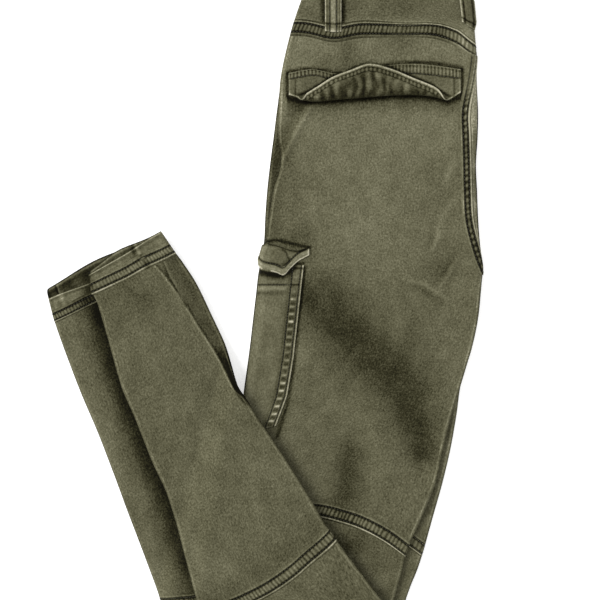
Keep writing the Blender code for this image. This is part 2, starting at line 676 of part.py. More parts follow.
def hem(name, leg):
    rows = (SHIN_AT["cuff_seam"] + 0.012, SHIN_AT["cuff_seam"] + 0.5, float(SHIN_AT["cuff_edge"]))
    loops = []
    for depth in (0.0, HEM_WALL):
        half = outline(depth, TUBE / 2 - depth, 4, parts_at(leg, ("shin", rows[0])))
        loops.append([(place, side, offset) for place, side, offset in half]
                     + [(place, side, -offset) for place, side, offset in reversed(half)])

    def hem_point(spot, row):
        place, side, offset = spot
        front = offset if leg == "left" else -offset
        short = HEM_SHORT[leg] * float(smooth(front / TUBE + 0.5)) * (row - rows[0])
        return tube_point(leg, ("shin", row - short), place, side, offset)

    rings = [[hem_point(outer, row) for row in rows] + [hem_point(inner, row) for row in reversed(rows)]
             for outer, inner in zip(*loops)]
    return loft(name, rings, CLOTH_LIGHT, ends="joined")


# ---------------------------------------------------------------- the trousers

def build():
    for old in list(bpy.data.objects):
        bpy.data.objects.remove(old)
    thigh_wall("left_back", left_back_section, "top", thigh_rows("waist", "knee_seam"))
    thigh_wall("right_back", right_back_section, "low", thigh_rows("waist", "knee_seam"))
    round_knee = (thigh_rows("knee_seam", "fold") + fold_angles()
                  + [("shin", SHIN_AT["knee_seam"] - KNEE_OVERLAP)])
    wall("left_knee_back", "left", False, round_knee)
    wall("right_knee_back", "right", True, round_knee)
    hidden_fronts()
    wall("left_shin_back", "left", False, shin_rows("knee_seam", "cuff_seam", 0.012))
    wall("left_shin_front", "left", True, shin_rows("fold", "cuff_seam", 0.012))
    wall("right_shin_front", "right", False, shin_rows("fold", "cuff_seam", 0.012))
    wall("right_shin_back", "right", True, shin_rows("knee_seam", "cuff_seam", 0.012))
    hem("left_hem", "left")
    hem("right_hem", "right")
    waistband()
    side_belt_loop()
    back_belt_loop()
    back_pocket_flap()
    cargo_pocket()
    cargo_flap()


build()
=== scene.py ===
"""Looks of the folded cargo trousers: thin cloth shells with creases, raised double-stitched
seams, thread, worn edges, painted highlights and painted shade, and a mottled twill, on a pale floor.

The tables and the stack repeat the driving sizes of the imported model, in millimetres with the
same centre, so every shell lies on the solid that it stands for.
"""
import bpy
import numpy as np
from math import pi, radians
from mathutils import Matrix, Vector


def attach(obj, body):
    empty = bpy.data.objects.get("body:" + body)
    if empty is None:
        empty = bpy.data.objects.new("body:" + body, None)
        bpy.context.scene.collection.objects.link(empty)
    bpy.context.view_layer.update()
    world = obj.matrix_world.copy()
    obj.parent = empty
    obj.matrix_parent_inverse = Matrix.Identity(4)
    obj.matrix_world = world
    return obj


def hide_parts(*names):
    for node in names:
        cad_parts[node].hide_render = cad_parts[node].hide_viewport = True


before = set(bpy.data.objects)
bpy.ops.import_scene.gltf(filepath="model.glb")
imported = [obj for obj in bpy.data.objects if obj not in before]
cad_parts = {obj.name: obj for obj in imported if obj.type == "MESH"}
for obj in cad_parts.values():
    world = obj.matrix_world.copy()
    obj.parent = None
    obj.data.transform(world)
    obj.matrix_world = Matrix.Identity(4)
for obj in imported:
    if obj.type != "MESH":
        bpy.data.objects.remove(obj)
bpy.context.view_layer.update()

# Driving sizes, mm, as in the model
GAP = 0.3
TUBE = 6.5
LAYER = TUBE + GAP
TOP = LAYER + TUBE
CURL = 3.4
WRAP = 7.0
FOLD_LEAN = 0.10
CENTRE = (0.86, 1.85)
SHEET = 1.2             # thickness of the shells

# Lines across the thighs and the shins, as in the model
THIGH_COLUMNS = ("y_left", "y_right", "arch", "top_left", "top_right", "low_left", "low_right", "seat")
THIGH_ROWS = {
    "band_top": (353.2, 337.0, 8.0, 48.1, 225.2, 48.1, 225.2, 228.0),
    "waist": (302.4, 276.5, 9.7, 30.8, 230.6, 32.9, 230.6, 228.0),
    "flap": (250.6, 246.2, 0.0, 18.9, 230.6, 20.0, 231.1, 224.5),
    "hip": (214.9, 211.7, 0.0, 16.7, 232.2, 14.6, 232.2, 218.0),
    "pleat_top": (184.7, 183.6, 0.0, 15.7, 231.7, 10.8, 231.7, 218.5),
    "pleat": (155.5, 154.4, 0.0, 18.9, 230.0, 7.0, 230.0, 219.3),
    "seat": (126.4, 125.3, 0.0, 10.8, 231.1, 3.8, 231.1, 220.0),
    "low_seat": (96.1, 95.0, 0.0, 5.9, 232.3, 1.6, 232.3, 221.6),
    "fork": (72.4, 71.3, 0.0, 2.7, 234.0, 0.5, 234.0, 226.8),
    "fork_low": (52.9, 52.9, 0.0, -2.7, 236.0, -2.7, 236.0, 232.3),
    "crotch": (35.6, 35.6, 0.0, -4.4, 237.0, -5.9, 237.0, 237.0),
    "inseam": (16.2, 17.3, 0.0, -6.6, 234.9, -8.1, 236.0, 237.0),
    "pocket": (-16.2, -14.0, 0.0, -10.4, 231.7, -11.9, 232.7, 237.0),
    "pocket_low": (-48.6, -46.4, 2.2, -14.2, 224.6, -15.7, 225.7, 237.0),
    "mid": (-87.5, -83.2, 4.3, -19.8, 213.8, -21.1, 214.4, 237.0),
    "thigh_a": (-122.0, -116.6, 10.8, -32.9, 203.6, -25.9, 209.5, 237.0),
    "thigh_b": (-159.8, -153.4, 21.6, -44.8, 194.4, -32.4, 203.0, 237.0),
    "thigh_c": (-195.5, -190.1, 31.3, -55.6, 186.3, -38.3, 194.4, 237.0),
    "thigh_d": (-230.0, -226.8, 40.0, -65.9, 171.7, -44.3, 184.1, 237.0),
    "knee_seam": (-265.7, -263.5, 46.4, -76.1, 155.5, -50.2, 173.9, 237.0),
    "knee": (-291.6, -285.1, 32.4, -83.7, 150.1, -55.1, 166.9, 237.0),
    "knee_low": (-316.4, -302.4, 15.1, -91.3, 145.3, -59.4, 159.8, 237.0),
    "fold": (-338.0, -317.5, 0.0, -97.7, 140.9, -63.2, 154.4, 237.0),
}
SHIN_COLUMNS = ("low_xl", "low_yl", "low_xr", "low_yr", "top_xl", "top_yl", "top_xr", "top_yr",
                "arch", "slope")
SHIN_ROWS = {
    "fold": (-104.2, -338.0, 121.5, -318.6, -66.4, -335.9, 129.1, -316.4, 0.0, 0.0),
    "knee_seam": (-110.7, -320.8, 67.5, -249.5, -67.5, -328.3, 74.0, -243.0, -15.1, 0.0),
    "shin": (-121.5, -291.6, 43.7, -210.6, -77.2, -294.8, 51.3, -206.3, -7.6, 0.0),
    "calf_a": (-134.5, -257.0, 15.7, -164.2, -89.1, -251.6, 24.3, -163.1, 0.0, 0.0),
    "calf_b": (-148.5, -220.3, -14.6, -117.7, -104.2, -203.0, -6.5, -117.2, 0.0, 0.0),
    "calf_bc": (-156.0, -199.8, -26.0, -99.4, -113.4, -182.5, -17.5, -99.0, 0.0, 2.0),
    "calf_c": (-163.6, -179.3, -37.3, -81.0, -122.6, -162.0, -28.6, -81.0, 0.0, 6.5),
    "calf_d": (-179.8, -137.2, -53.5, -45.4, -138.8, -121.0, -41.6, -41.0, 0.0, 14.0),
    "calf_e": (-198.2, -94.0, -68.6, -11.9, -153.9, -85.3, -56.7, -7.6, 0.0, 19.4),
    "calf_f": (-214.4, -51.8, -83.7, 18.4, -167.9, -35.6, -71.8, 23.8, 0.0, 22.7),
    "ankle": (-224.1, -24.8, -92.3, 37.8, -177.7, -2.2, -84.8, 44.3, 0.0, 24.8),
    "cuff_seam": (-229.5, -7.6, -102.1, 55.1, -184.7, 19.4, -97.7, 62.6, 0.0, 25.9),
    "cuff_edge": (-236.0, 18.4, -110.7, 81.0, -189.5, 36.7, -110.7, 82.1, 0.0, 15.1),
}
THIGH = {name: np.array([row[i] for row in THIGH_ROWS.values()]) for i, name in enumerate(THIGH_COLUMNS)}
SHIN = {name: np.array([row[i] for row in SHIN_ROWS.values()]) for i, name in enumerate(SHIN_COLUMNS)}

# A station runs from the waist (0) through the thigh's rows, once round the knee fold, and on
# through the shin's rows.
FOLD = len(THIGH_ROWS) - 1
SHIN_START = FOLD + 1
STATION = {name: i for i, name in enumerate(THIGH_ROWS)}
WAIST = STATION["waist"]
CROTCH = STATION["crotch"]
KNEE_SEAM = STATION["knee_seam"]
SHIN_SEAM = SHIN_START + 1
CUFF_SEAM = SHIN_START + len(SHIN_ROWS) - 2
CUFF_EDGE = CUFF_SEAM + 1

SIDE_LINES = {"low": (-21.7, -87.0, 0.165), "top": (-21.7, -87.0, 0.300)}
DRAPE_CLEAR = 7.0
DRAPE_RUN = 24.0
POCKET_RISE = 2.2
SHIN_GAP = 1.2
LEGS = {"right": {"thigh": "low", "shin": "top", "layers": (0, 3)},
        "left": {"thigh": "top", "shin": "low", "layers": (1, 2)}}


# ---------------------------------------------------------------- small helpers

def smooth(value):
    value = np.clip(value, 0.0, 1.0)
    return value * value * (3.0 - 2.0 * value)


def bell(distance, width):
    return np.exp(-(distance / width) ** 2)


def at(column, rows):
    """A table column read at fractional rows, along a smooth curve through the rows."""
    last = len(column) - 1
    rows = np.clip(np.asarray(rows, float), 0.0, last)
    i = np.minimum(rows.astype(int), last - 1)
    f = rows - i
    a, b = column[i], column[i + 1]
    before = np.where(i > 0, column[np.maximum(i - 1, 0)], 2 * a - b)
    after = np.where(i + 2 <= last, column[np.minimum(i + 2, last)], 2 * b - a)
    slope_a, slope_b = (b - before) / 2, (after - a) / 2
    return (a * (1 + 2 * f) * (1 - f) ** 2 + slope_a * f * (1 - f) ** 2
            + b * f * f * (3 - 2 * f) + slope_b * f * f * (f - 1))


def rumple(x, y, size, seed, stretch=1.0):
    """Smooth seeded noise between -1 and 1, with soft lumps of a size in mm."""
    table = np.random.default_rng(seed).uniform(-1, 1, (64, 64))
    u, v = x / size + 32.3, y / (size * stretch) + 32.7
    i, j = np.floor(u).astype(int), np.floor(v).astype(int)
    fu, fv = smooth(u - i), smooth(v - j)
    i, j = i % 63, j % 63
    return ((table[i, j] * (1 - fu) + table[i + 1, j] * fu) * (1 - fv)
            + (table[i, j + 1] * (1 - fu) + table[i + 1, j + 1] * fu) * fv)


def path_distance(x, y, path):
    """Distance from a polyline, how far along it as a share, and on which side (+ is its left)."""
    best = np.full(np.shape(x), 1e9)
    along = np.zeros(np.shape(x))
    side = np.zeros(np.shape(x))
    path = np.array(path, float)
    lengths = np.hypot(*np.diff(path, axis=0).T)
    done = 0.0
    for (ax, ay), (bx, by), length in zip(path[:-1], path[1:], lengths):
        ux, uy = (bx - ax) / length, (by - ay) / length
        run = np.clip((x - ax) * ux + (y - ay) * uy, 0, length)
        dx, dy = x - ax - ux * run, y - ay - uy * run
        distance = np.hypot(dx, dy)
        closer = distance < best
        best = np.where(closer, distance, best)
        along = np.where(closer, (done + run) / lengths.sum(), along)
        side = np.where(closer, np.sign(ux * dy - uy * dx), side)
        done += length
    return best, along, side


# ---------------------------------------------------------------- the stack of layers

def carried(half, x, y):
    side_x, side_y, lean = SIDE_LINES[half]
    beside = side_x + lean * np.minimum(y - side_y, 20.0) - DRAPE_CLEAR - x
    return 1 - smooth(beside / DRAPE_RUN)


def base(layer, x, y):
    """Height of the underside of a layer: 0 right thigh, 1 left thigh, 2 left shin, 3 right shin."""
    if layer == 0:
        return np.zeros(np.shape(x))
    if layer == 1:
        return LAYER * np.where(y < SIDE_LINES["low"][1], carried("low", x, y), 1.0)
    height = LAYER * carried("low", x, y) + (LAYER + POCKET_RISE) * carried("top", x, y)
    return height + (LAYER + SHIN_GAP if layer == 3 else 0.0)


def leg_line(leg, stretch, row):
    """Ends (x, y) and arch of the line across a leg at the rows of one stretch."""
    if stretch == "thigh":
        half = LEGS[leg]["thigh"]
        return (at(THIGH[half + "_left"], row), at(THIGH["y_left"], row),
                at(THIGH[half + "_right"], row), at(THIGH["y_right"], row), at(THIGH["arch"], row))
    half = LEGS[leg]["shin"]
    return (at(SHIN[half + "_xl"], row), at(SHIN[half + "_yl"], row),
            at(SHIN[half + "_xr"], row), at(SHIN[half + "_yr"], row), at(SHIN["arch"], row))


def plan(leg, stretch, row, t):
    xl, yl, xr, yr, arch = leg_line(leg, stretch, row)
    return xl + (xr - xl) * t, yl + (yr - yl) * t + 4 * arch * t * (1 - t)


def width_at(leg, s):
    """Width of a leg at stations."""
    widths = []
    for stretch, row in (("thigh", np.minimum(s, FOLD)), ("shin", np.maximum(s - SHIN_START, 0.0))):
        xl, yl, xr, yr, _ = leg_line(leg, stretch, row)
        widths.append(np.hypot(xr - xl, yr - yl))
    share = (1 - np.cos(pi * np.clip(s - FOLD, 0, 1))) / 2
    return widths[0] + (widths[1] - widths[0]) * share


def surface(leg, s, t, off):
    """Points of a leg. s is the station, t the fraction across, off the distance from the middle
    of the tube, outwards of the knee fold."""
    low_layer, high_layer = LEGS[leg]["layers"]
    xa, ya = plan(leg, "thigh", np.minimum(s, FOLD), t)
    xb, yb = plan(leg, "shin", np.maximum(s - SHIN_START, 0.0), t)
    z_low = base(low_layer, xa, ya) + TUBE / 2
    z_high = base(high_layer, xb, yb) + TUBE / 2
    angle = pi * np.clip(s - FOLD, 0, 1)
    share = (1 - np.cos(angle)) / 2
    radius = (z_high - z_low) / 2 + off
    x = xa + (xb - xa) * share - FOLD_LEAN * radius * np.sin(angle)
    y = ya + (yb - ya) * share - radius * np.sin(angle)
    return np.stack((x, y, (z_low + z_high) / 2 - radius * np.cos(angle)), axis=-1)


ROW_LENGTH = 32.0       # about the mm from one row to the next


def calm(s):
    """0 at the seams across a leg, where stitching holds the cloth flat, to 1 beyond them."""
    factor = np.ones(np.shape(s))
    for seam, reach in ((WAIST, 20.0), (KNEE_SEAM, 16.0), (SHIN_SEAM, 16.0), (CUFF_SEAM, 14.0)):
        factor = factor * smooth((np.abs(s - seam) * ROW_LENGTH - 5.0) / reach)
    return factor


# ---------------------------------------------------------------- sections of half a leg

def even(count, dense=0.6):
    """Fractions from 0 to 1, closer together at both ends."""
    u = np.linspace(0, 1, count)
    return u - dense * np.sin(2 * pi * u) / (2 * pi)


def resample(w, o, fractions):
    run = np.concatenate(([0.0], np.cumsum(np.hypot(np.diff(w), np.diff(o)))))
    places = fractions * run[-1]
    return np.interp(places, run, w), np.interp(places, run, o), places


def seat_turn(s):
    """Place of the seat seam on the rounded edge: its angle, and how far left of the edge it lies."""
    start = at(THIGH["top_right"], s) - WRAP
    reach = at(THIGH["seat"], s) - start
    return np.arccos(np.clip(reach / WRAP, 0.0, 1.0)), np.maximum(-reach, 0.0)


def edge_shape(s, seat):
    """Centre height, half height and width of a leg's right edge, as offsets in its own tube."""
    fork = smooth(s - CROTCH) if seat else 1.0
    return (-LAYER / 2 * (1 - fork) + GAP / 2 * fork, TOP / 2 * (1 - fork) + (TUBE - GAP) / 2 * fork,
            WRAP * (1 - fork) + CURL * fork)


def half_section(leg, s, fractions, seat=False):
    """Half of a leg's section at one station, as (distance from the left end, offset, run)."""
    width = float(width_at(leg, np.array(s)))
    quarter = np.linspace(0, pi / 2, 9)
    w = list(CURL * (1 - np.cos(quarter)))
    o = list(GAP / 2 + (TUBE - GAP) / 2 * np.sin(quarter))
    centre, half_height, reach = edge_shape(s, seat)
    end, back = 0.04, 0.0
    if seat and s <= CROTCH + 1:
        turn, back = (float(value) for value in seat_turn(min(s, CROTCH)))
        end = turn if leg == "left" else -turn
        end += 0.5 * GAP / reach * (1 if leg == "left" else -1)
    if seat == "round":
        end, back = -1.45, 0.0
    start = width - reach
    if seat and leg == "left":
        start = min(start, width - WRAP - back - GAP / 2) if back else start
    angles = np.linspace(pi / 2, min(end, pi / 2), 24)
    w += list(start + reach * np.cos(angles)) if not (back and leg == "left") else [start]
    o += list(centre + half_height * np.sin(angles)) if not (back and leg == "left") else [TUBE / 2]
    if back and leg == "right":
        w.append(start - back + GAP / 2)
        o.append(centre - half_height)
    return resample(np.array(w), np.array(o), fractions)


def half_grid(leg, outer, stations, count, relief=None, seat=False, lift=0.0, span=(0.0, 1.0)):
    """Points, run across and plan of one side of a leg over stations. relief is a function of
    (x, y, s, t) in mm, and lift moves the whole side outwards."""
    fractions = even(count)
    fractions = span[0] + (span[1] - span[0]) * fractions
    sections = [half_section(leg, float(s), fractions, seat) for s in stations]
    w, o, run = (np.array(column) for column in zip(*sections))
    s = np.repeat(np.asarray(stations, float)[:, None], count, axis=1)
    t = w / width_at(leg, s)
    sign = 1 if outer else -1
    rise = np.clip(o / (TUBE / 2), 0, 1) ** 2
    height = np.zeros(s.shape)
    if relief is not None:
        x, y, _ = np.moveaxis(surface(leg, s, t, sign * o), -1, 0)
        height = relief(x, y, s, t) * rise * calm(s)
    points = surface(leg, s, t, sign * (o + height + lift))
    return points, run, s, t


# ---------------------------------------------------------------- creases, worn places, and painted light and shade, in plan

THIGH_TROUGH = ((36.0, 24.0), (66.4, -3.2), (91.3, -28.1), (115.0, -50.8), (138.8, -74.5), (155.0, -98.3),
                (163.6, -124.2), (171.2, -152.3), (176.0, -176.0))
LEFT_PLEAT = ((50.0, 216.0), (34.0, 187.0), (24.0, 167.0), (15.0, 150.0), (6.0, 120.0))
CROTCH_CREASES = (((145.0, 39.0), (158.0, 28.0), (174.0, 25.0), (192.0, 13.0), (204.0, 3.0)),
                  ((193.0, 86.0), (187.0, 71.0), (180.0, 56.0)),
                  ((214.0, 60.0), (200.0, 34.0), (188.0, 20.0)))
WORN_STREAKS = (((211.0, 172.0), (203.0, 150.0), (194.0, 128.0)),
                ((212.0, 122.0), (199.0, 107.0), (191.0, 93.0), (184.0, 62.0)))
# The knee trough, sunk in the relief and laid in painted shade.
KNEE_TROUGH = ((93.4, -138.0), (92.3, -176.0), (90.2, -203.0), (76.0, -236.0))
CARGO_TOP = ((-4.0, 69.0), (1.0, 70.3), (13.8, 72.3), (32.0, 68.0), (50.0, 64.3))
# Soft spots of painted shade: x, y, radius and depth.
SOFT_SPOTS = ((91.0, 264.0, 13.0, 0.50), (66.0, 266.0, 14.0, 0.30), (92.0, 287.0, 12.0, 0.35), (147.0, 287.0, 16.0, 0.25), (37.0, 74.0, 17.0, 0.40),
              (195.0, 50.0, 20.0, 0.22), (197.0, 35.0, 14.0, 0.15), (14.0, -122.0, 12.0, 0.30))


def thigh_cover(x, y):
    """1 where the thigh's top is open, 0 under the shins."""
    line = -7.0 - x + (y + 116.6) * -0.68
    return smooth((-line - 2.0) / 16.0)


def thigh_relief(x, y, s, t):
    trough, along, side = path_distance(x, y, THIGH_TROUGH)
    relief = -2.3 * bell(trough, 24.0 - 8.0 * along) * smooth(along / 0.15) + 1.3 * bell(trough - 40.0, 16.0)
    pleat, along, side = path_distance(x, y, LEFT_PLEAT)
    relief += 1.7 * bell(pleat, 4.5) * smooth((1 - along) / 0.3) - 1.6 * bell(pleat - 10.0, 8.0) * (side < 0)
    for crease in CROTCH_CREASES:
        distance, along, _ = path_distance(x, y, crease)
        relief += 0.9 * bell(distance, 3.2) * np.sin(pi * np.clip(along, 0.02, 0.98))
    streak, _, _ = path_distance(x, y, KNEE_TROUGH)
    relief -= 1.3 * bell(streak, 14.0)
    relief += 1.0 * rumple(x, y, 52.0, 3, 1.5) + 0.45 * rumple(x, y, 21.0, 4, 1.4) + 0.10 * rumple(x, y, 8.0, 5)
    relief += 1.2 * bell(y - 262.0, 7.0) * bell(x - 150.0, 90.0)
    relief = np.where(relief > 0, relief * (0.35 + 0.65 * thigh_cover(x, y)), relief)
    seam_x = np.interp(-y, -THIGH["y_left"][:CROTCH + 1], THIGH["seat"][:CROTCH + 1])
    relief = relief * np.where(y > 20.0, smooth((np.abs(seam_x - x) - 4.0) / 14.0), 1.0)
    return np.clip(relief, -2.4, 3.4)


def thigh_wear_and_painted_light(x, y, s, t):
    """Worn places with painted highlights, and painted shade, of the left back."""
    # Painted shade in the trough, beside the pleat, in the knee trough, in soft spots, along the left side and round
    # the flaps, and a little darker towards the knee; a painted highlight below the start of the trough; lighter
    # towards the waist and over the seat; worn pleat and crease ridges and worn streaks, with painted shade on one side
    # of each crease.
    trough, along, side = path_distance(x, y, THIGH_TROUGH)
    uneven = 1 + 0.14 * rumple(x, y, 19.0, 43) + 0.07 * rumple(x, y, 8.0, 44)
    wide = (36.0 - 17.0 * smooth((along - 0.35) / 0.65)) * (1 + 0.15 * rumple(x, y, 30.0, 45))
    ends = smooth(along / 0.12 + 0.55) * smooth((1.0 - along) / 0.12 + 0.3)
    wide = wide * np.where(side < 0, 0.50 + 0.35 * smooth(along / 0.4), 1.0)
    shade = 0.64 * bell(trough, wide) * ends * uneven
    pleat, pleat_along, pleat_side = path_distance(x, y, LEFT_PLEAT)
    shade += 0.42 * bell(pleat - 9.0, 9.0) * (pleat_side < 0) * smooth((1 - pleat_along) / 0.2)
    streak, streak_along, _ = path_distance(x, y, KNEE_TROUGH)
    shade += 0.46 * bell(streak, 12.0 + 8.0 * streak_along) * smooth(streak_along / 0.3 + 0.2) * uneven
    for px, py, radius, depth in SOFT_SPOTS:
        shade += depth * bell(np.hypot(x - px, y - py), radius)
    left = np.interp(-y, -THIGH["y_left"], THIGH["top_left"])
    shade += 0.30 * bell(x - left, 15.0) * smooth((205.0 - y) / 40.0) * smooth((y + 20.0) / 60.0)
    shade += 0.08 * smooth((60.0 - y) / 60.0) + flap_shadow(x, y)
    wear_and_highlight = 0.16 * smooth((y - 120.0) / 90.0) + 0.20 * bell(np.hypot(x - 42.0, y + 50.0), 20.0)
    wear_and_highlight += 0.15 * bell(np.hypot(x - 105.0, y - 85.0), 70.0)
    wear_and_highlight += 0.28 * bell(pleat, 2.2) * smooth((1 - pleat_along) / 0.3)
    for crease in CROTCH_CREASES:
        distance, crease_along, crease_side = path_distance(x, y, crease)
        strength = np.sin(pi * np.clip(crease_along, 0.02, 0.98))
        wear_and_highlight += 0.30 * bell(distance, 2.2) * strength
        shade += 0.25 * bell(distance - 6.0, 4.0) * strength * (crease_side < 0)
    for streak in WORN_STREAKS:
        distance, streak_along, _ = path_distance(x, y, streak)
        wear_and_highlight += 0.26 * bell(distance, 3.4) * np.sin(pi * np.clip(streak_along, 0.02, 0.98))
    return wear_and_highlight, shade


def flap_shadow(x, y):
    """Dark lines round the back pocket flap, above the cargo flap and beside the cargo pocket."""
    seam = np.interp(x, FLAP_ROWS[:, 0], FLAP_ROWS[:, 1])
    roll = np.interp(x, FLAP_ROWS[:, 0], FLAP_ROWS[:, 2])
    within = smooth((x - 24.0) / 3.0) * smooth((217.0 - x) / 3.0)
    shade = (1.3 * bell(y - seam - 1.4, 1.7) + 1.0 * bell(y - roll + 1.5, 3.4) + 0.45 * bell(y - roll + 5.0, 10.0)) * within
    rim = np.interp(x, FLAP_ROWS[:, 0], FLAP_ROWS[:, 3])
    shade = shade + 1.2 * bell(y - rim - 2.0, 1.6) * smooth((rim - seam) / 2.0) * within
    ends = np.minimum(np.abs(x - 25.5), np.abs(x - 215.0))
    shade = shade + 1.1 * bell(ends, 1.7) * smooth((y - roll + 3.0) / 3.0) * smooth((seam + 3.0 - y) / 3.0)
    above, _, _ = path_distance(x, y, CARGO_TOP)
    edge = np.interp(-y, [-py for py, _ in POCKET_EDGE], [px for _, px in POCKET_EDGE])
    beside = smooth((y + 144.0) / 4.0) * smooth((46.0 - y) / 3.0)
    shade = shade + 1.0 * bell(y - 46.8, 1.6) * smooth((x - 28.0) / 3.0) * smooth((46.0 - x) / 3.0)
    return shade + 1.0 * bell(above, 1.7) + 0.9 * bell(x - edge - 1.4, 1.6) * beside


def shin_relief(x, y, s, t):
    """Relief of the top shin: a crease on its right, with a slope beyond it."""
    slope = at(SHIN["slope"], s - SHIN_START)
    width = width_at("right", s)
    over = (t - 1) * width + slope
    relief = -4.0 * smooth(over / np.maximum(slope, 6.0)) * smooth(slope / 6.0)
    relief += 1.1 * bell(over, 3.0) * smooth(slope / 6.0)
    relief += 1.3 * rumple(x * 0.85 + y * 0.5, y * 0.85 - x * 0.5, 40.0, 11, 2.6)
    relief += 0.5 * rumple(x * 0.85 + y * 0.5, y * 0.85 - x * 0.5, 16.0, 12, 2.2) + 0.10 * rumple(x, y, 8.0, 13)
    relief += 0.8 * smooth((t - 0.05) / 0.3) * smooth((0.95 - t) / 0.3)
    pucker = bell(np.hypot(x + 60.0, (y + 18.0) * 0.6), 11.0)
    relief += pucker * 1.0 * np.sin((x * 0.5 + y) / 2.3)
    return np.clip(relief, -4.4, 4.0)


SECOND_CREASE = ((-109.5, 55.0), (-101.0, 34.6), (-86.9, 8.6), (-82.0, 0.0))


def shin_wear_and_painted_light(x, y, s, t):
    # Painted shade on the slope beyond the crease and just beside it, beside the second crease, in the deep notch and
    # along the outer edge there, in two soft spots, along the middle towards the cuff and near the shin seam, a little
    # darker overall with random tone; worn lines on the crease and the second crease.
    slope = at(SHIN["slope"], s - SHIN_START)
    over = (t - 1) * width_at("right", s) + slope
    beyond = smooth((over - 0.5) / 2.5) * smooth(slope / 6.0)
    deep = smooth((-38.0 - y) / 16.0) * smooth((y + 100.0) / 12.0)
    second, second_along, second_side = path_distance(x, y, SECOND_CREASE)
    between = (second_side < 0) * smooth((y - 4.0) / 8.0)
    shade = 0.24 * beyond * (1 - 0.9 * between) + 0.45 * bell(over - 1.8, 1.3) * smooth(slope / 6.0)
    shade += 0.70 * beyond * deep + 0.6 * bell(second - 1.6, 1.6) * (second_side < 0) * (second_along < 0.99)
    wear_and_highlight = 0.75 * bell(over + 0.3, 0.8) * smooth(slope / 6.0) + 0.5 * bell(second, 1.0) * smooth((1 - second_along) / 0.2)
    down = smooth((s - SHIN_SEAM - 7.4) / 2.6)
    shade += 0.20 * down * bell(t - 0.40, 0.17) + 0.10 + 0.07 * rumple(x, y, 26.0, 14)
    shade += 0.22 * bell(np.hypot(x + 127.0, y - 10.0), 12.0) + 0.08 * bell(np.hypot(x + 108.0, (y - 8.0) * 0.6), 9.0)
    shade += 0.85 * smooth((over - slope + 7.0) / 3.0) * smooth((-54.0 - y) / 8.0) * smooth((y + 110.0) / 10.0)
    shade += 0.30 * bell(s - SHIN_SEAM - 0.40, 0.25) * (0.6 + 0.5 * rumple(x, y, 22.0, 15))
    return wear_and_highlight, shade


def under_shin_relief(x, y, s, t):
    relief = 0.5 * rumple(x, y, 30.0, 21, 2.0) + 0.1 * rumple(x, y, 9.0, 22)
    return np.clip(relief, -0.8, 0.7) + 2.4 * bell(t, 0.10) * 0.3


def under_shin_painted_light(x, y, s, t):
    """Painted shadow: the strip of the lower shin lies in the shadow of the upper one, darkest along its edge and most
    near the cuffs, with a faint lighter band further out.
    """
    reach, _, _ = path_distance(x, y, list(zip(at(SHIN["top_xl"], np.arange(0, 12.01, 0.5)),
                                               at(SHIN["top_yl"], np.arange(0, 12.01, 0.5)))))
    shade = 0.85 * bell(reach, 15.0) * smooth((y + 380.0) / 120.0) + 0.25 * bell(reach, 30.0)
    shade = shade + 0.6 * bell(reach, 9.0) * smooth((y + 30.0) / 30.0)
    return 0.10 * bell(reach - 34.0, 8.0), shade


def knee_relief(x, y, s, t):
    return (0.7 * rumple(x, y, 30.0, 31, 1.2) + 0.25 * rumple(x, y, 12.0, 32)) * smooth((s - FOLD - 0.5) / 0.4)


def knee_wear_and_painted_light(x, y, s, t):
    # Painted shade over the knee and round the fold, less towards the shin seam, and a light line at the shin seam.
    shade = 0.18 + 0.35 * smooth((SHIN_SEAM - 0.6 - s) / 2.0)
    return 0.1 * bell(s - SHIN_SEAM, 0.5), shade


def thigh_knee_painted_shade(x, y, s, t):
    # Painted shade with random tone, deepest along the edge of the top shin.
    return np.zeros(np.shape(x)), 0.12 + 0.15 * rumple(x, y, 18.0, 41) + 0.40 * bell(y + 262.0 - 0.4 * (x - 80.0), 14.0) * smooth((125.0 - x) / 20.0)


def plain_relief(x, y, s, t):
    return -0.3 + 0.3 * rumple(x, y, 30.0, 51)


def plain_painted_shade(x, y, s, t):
    # Painted shade: an even darker tone on layers that lie underneath.
    return np.zeros(np.shape(x)), np.full(np.shape(x), 0.20)


def inner_painted_shade(x, y, s, t):
    """Painted shadow: the fronts lie inside, in the shadow of what covers them, less on the outer strip that shows
    below the crotch; with random tone.
    """
    shade = 0.52 - 0.40 * smooth((t - 0.84) / 0.08) * (s > CROTCH + 1)
    return 0.1 * rumple(x, y, 14.0, 52), shade + 0.16 * rumple(x, y, 14.0, 53)


def right_back_wear_and_painted_light(x, y, s, t):
    """Painted highlight where the right back comes round the fold at the seat, with lighter and darker lumps of painted
    light, a lighter band towards the waist and random tone, and a worn ridge beside the seat seam.
    """
    ridge = bell(x - np.interp(-y, -THIGH["y_left"], THIGH["seat"]) - 5.5, 1.3) * (y > 30)
    lumps = (rumple(x, y * 0.6, 9.0, 57) + 0.5 * rumple(x, y, 5.0, 58)) * smooth((250.0 - y) / 30.0)
    lumps = lumps + 0.9 * smooth((y - 165.0) / 30.0) * smooth((286.0 - y) / 20.0)
    wear_and_highlight = 1.2 * ridge * (0.8 + 0.5 * rumple(x, y, 12.0, 54)) + 0.42 + 0.35 * np.clip(lumps, 0, 1)
    return wear_and_highlight, 0.08 + 0.1 * rumple(x, y, 12.0, 56) + 0.35 * np.clip(-lumps, 0, 1)


# ---------------------------------------------------------------- meshes

WAIST_DIP = (76.0, 300.0, 24.0, 34.0, 8.0)      # centre x, y, reach in x, y, and depth of the sag
CUFF_BULGE = (-185.0, 14.0, 10.0, 3.8)           # centre, reach and width of the top cuff's bulge
WAIST_BOW = (192.0, 288.0, 40.0, 26.0, 10.5)    # and of the bow


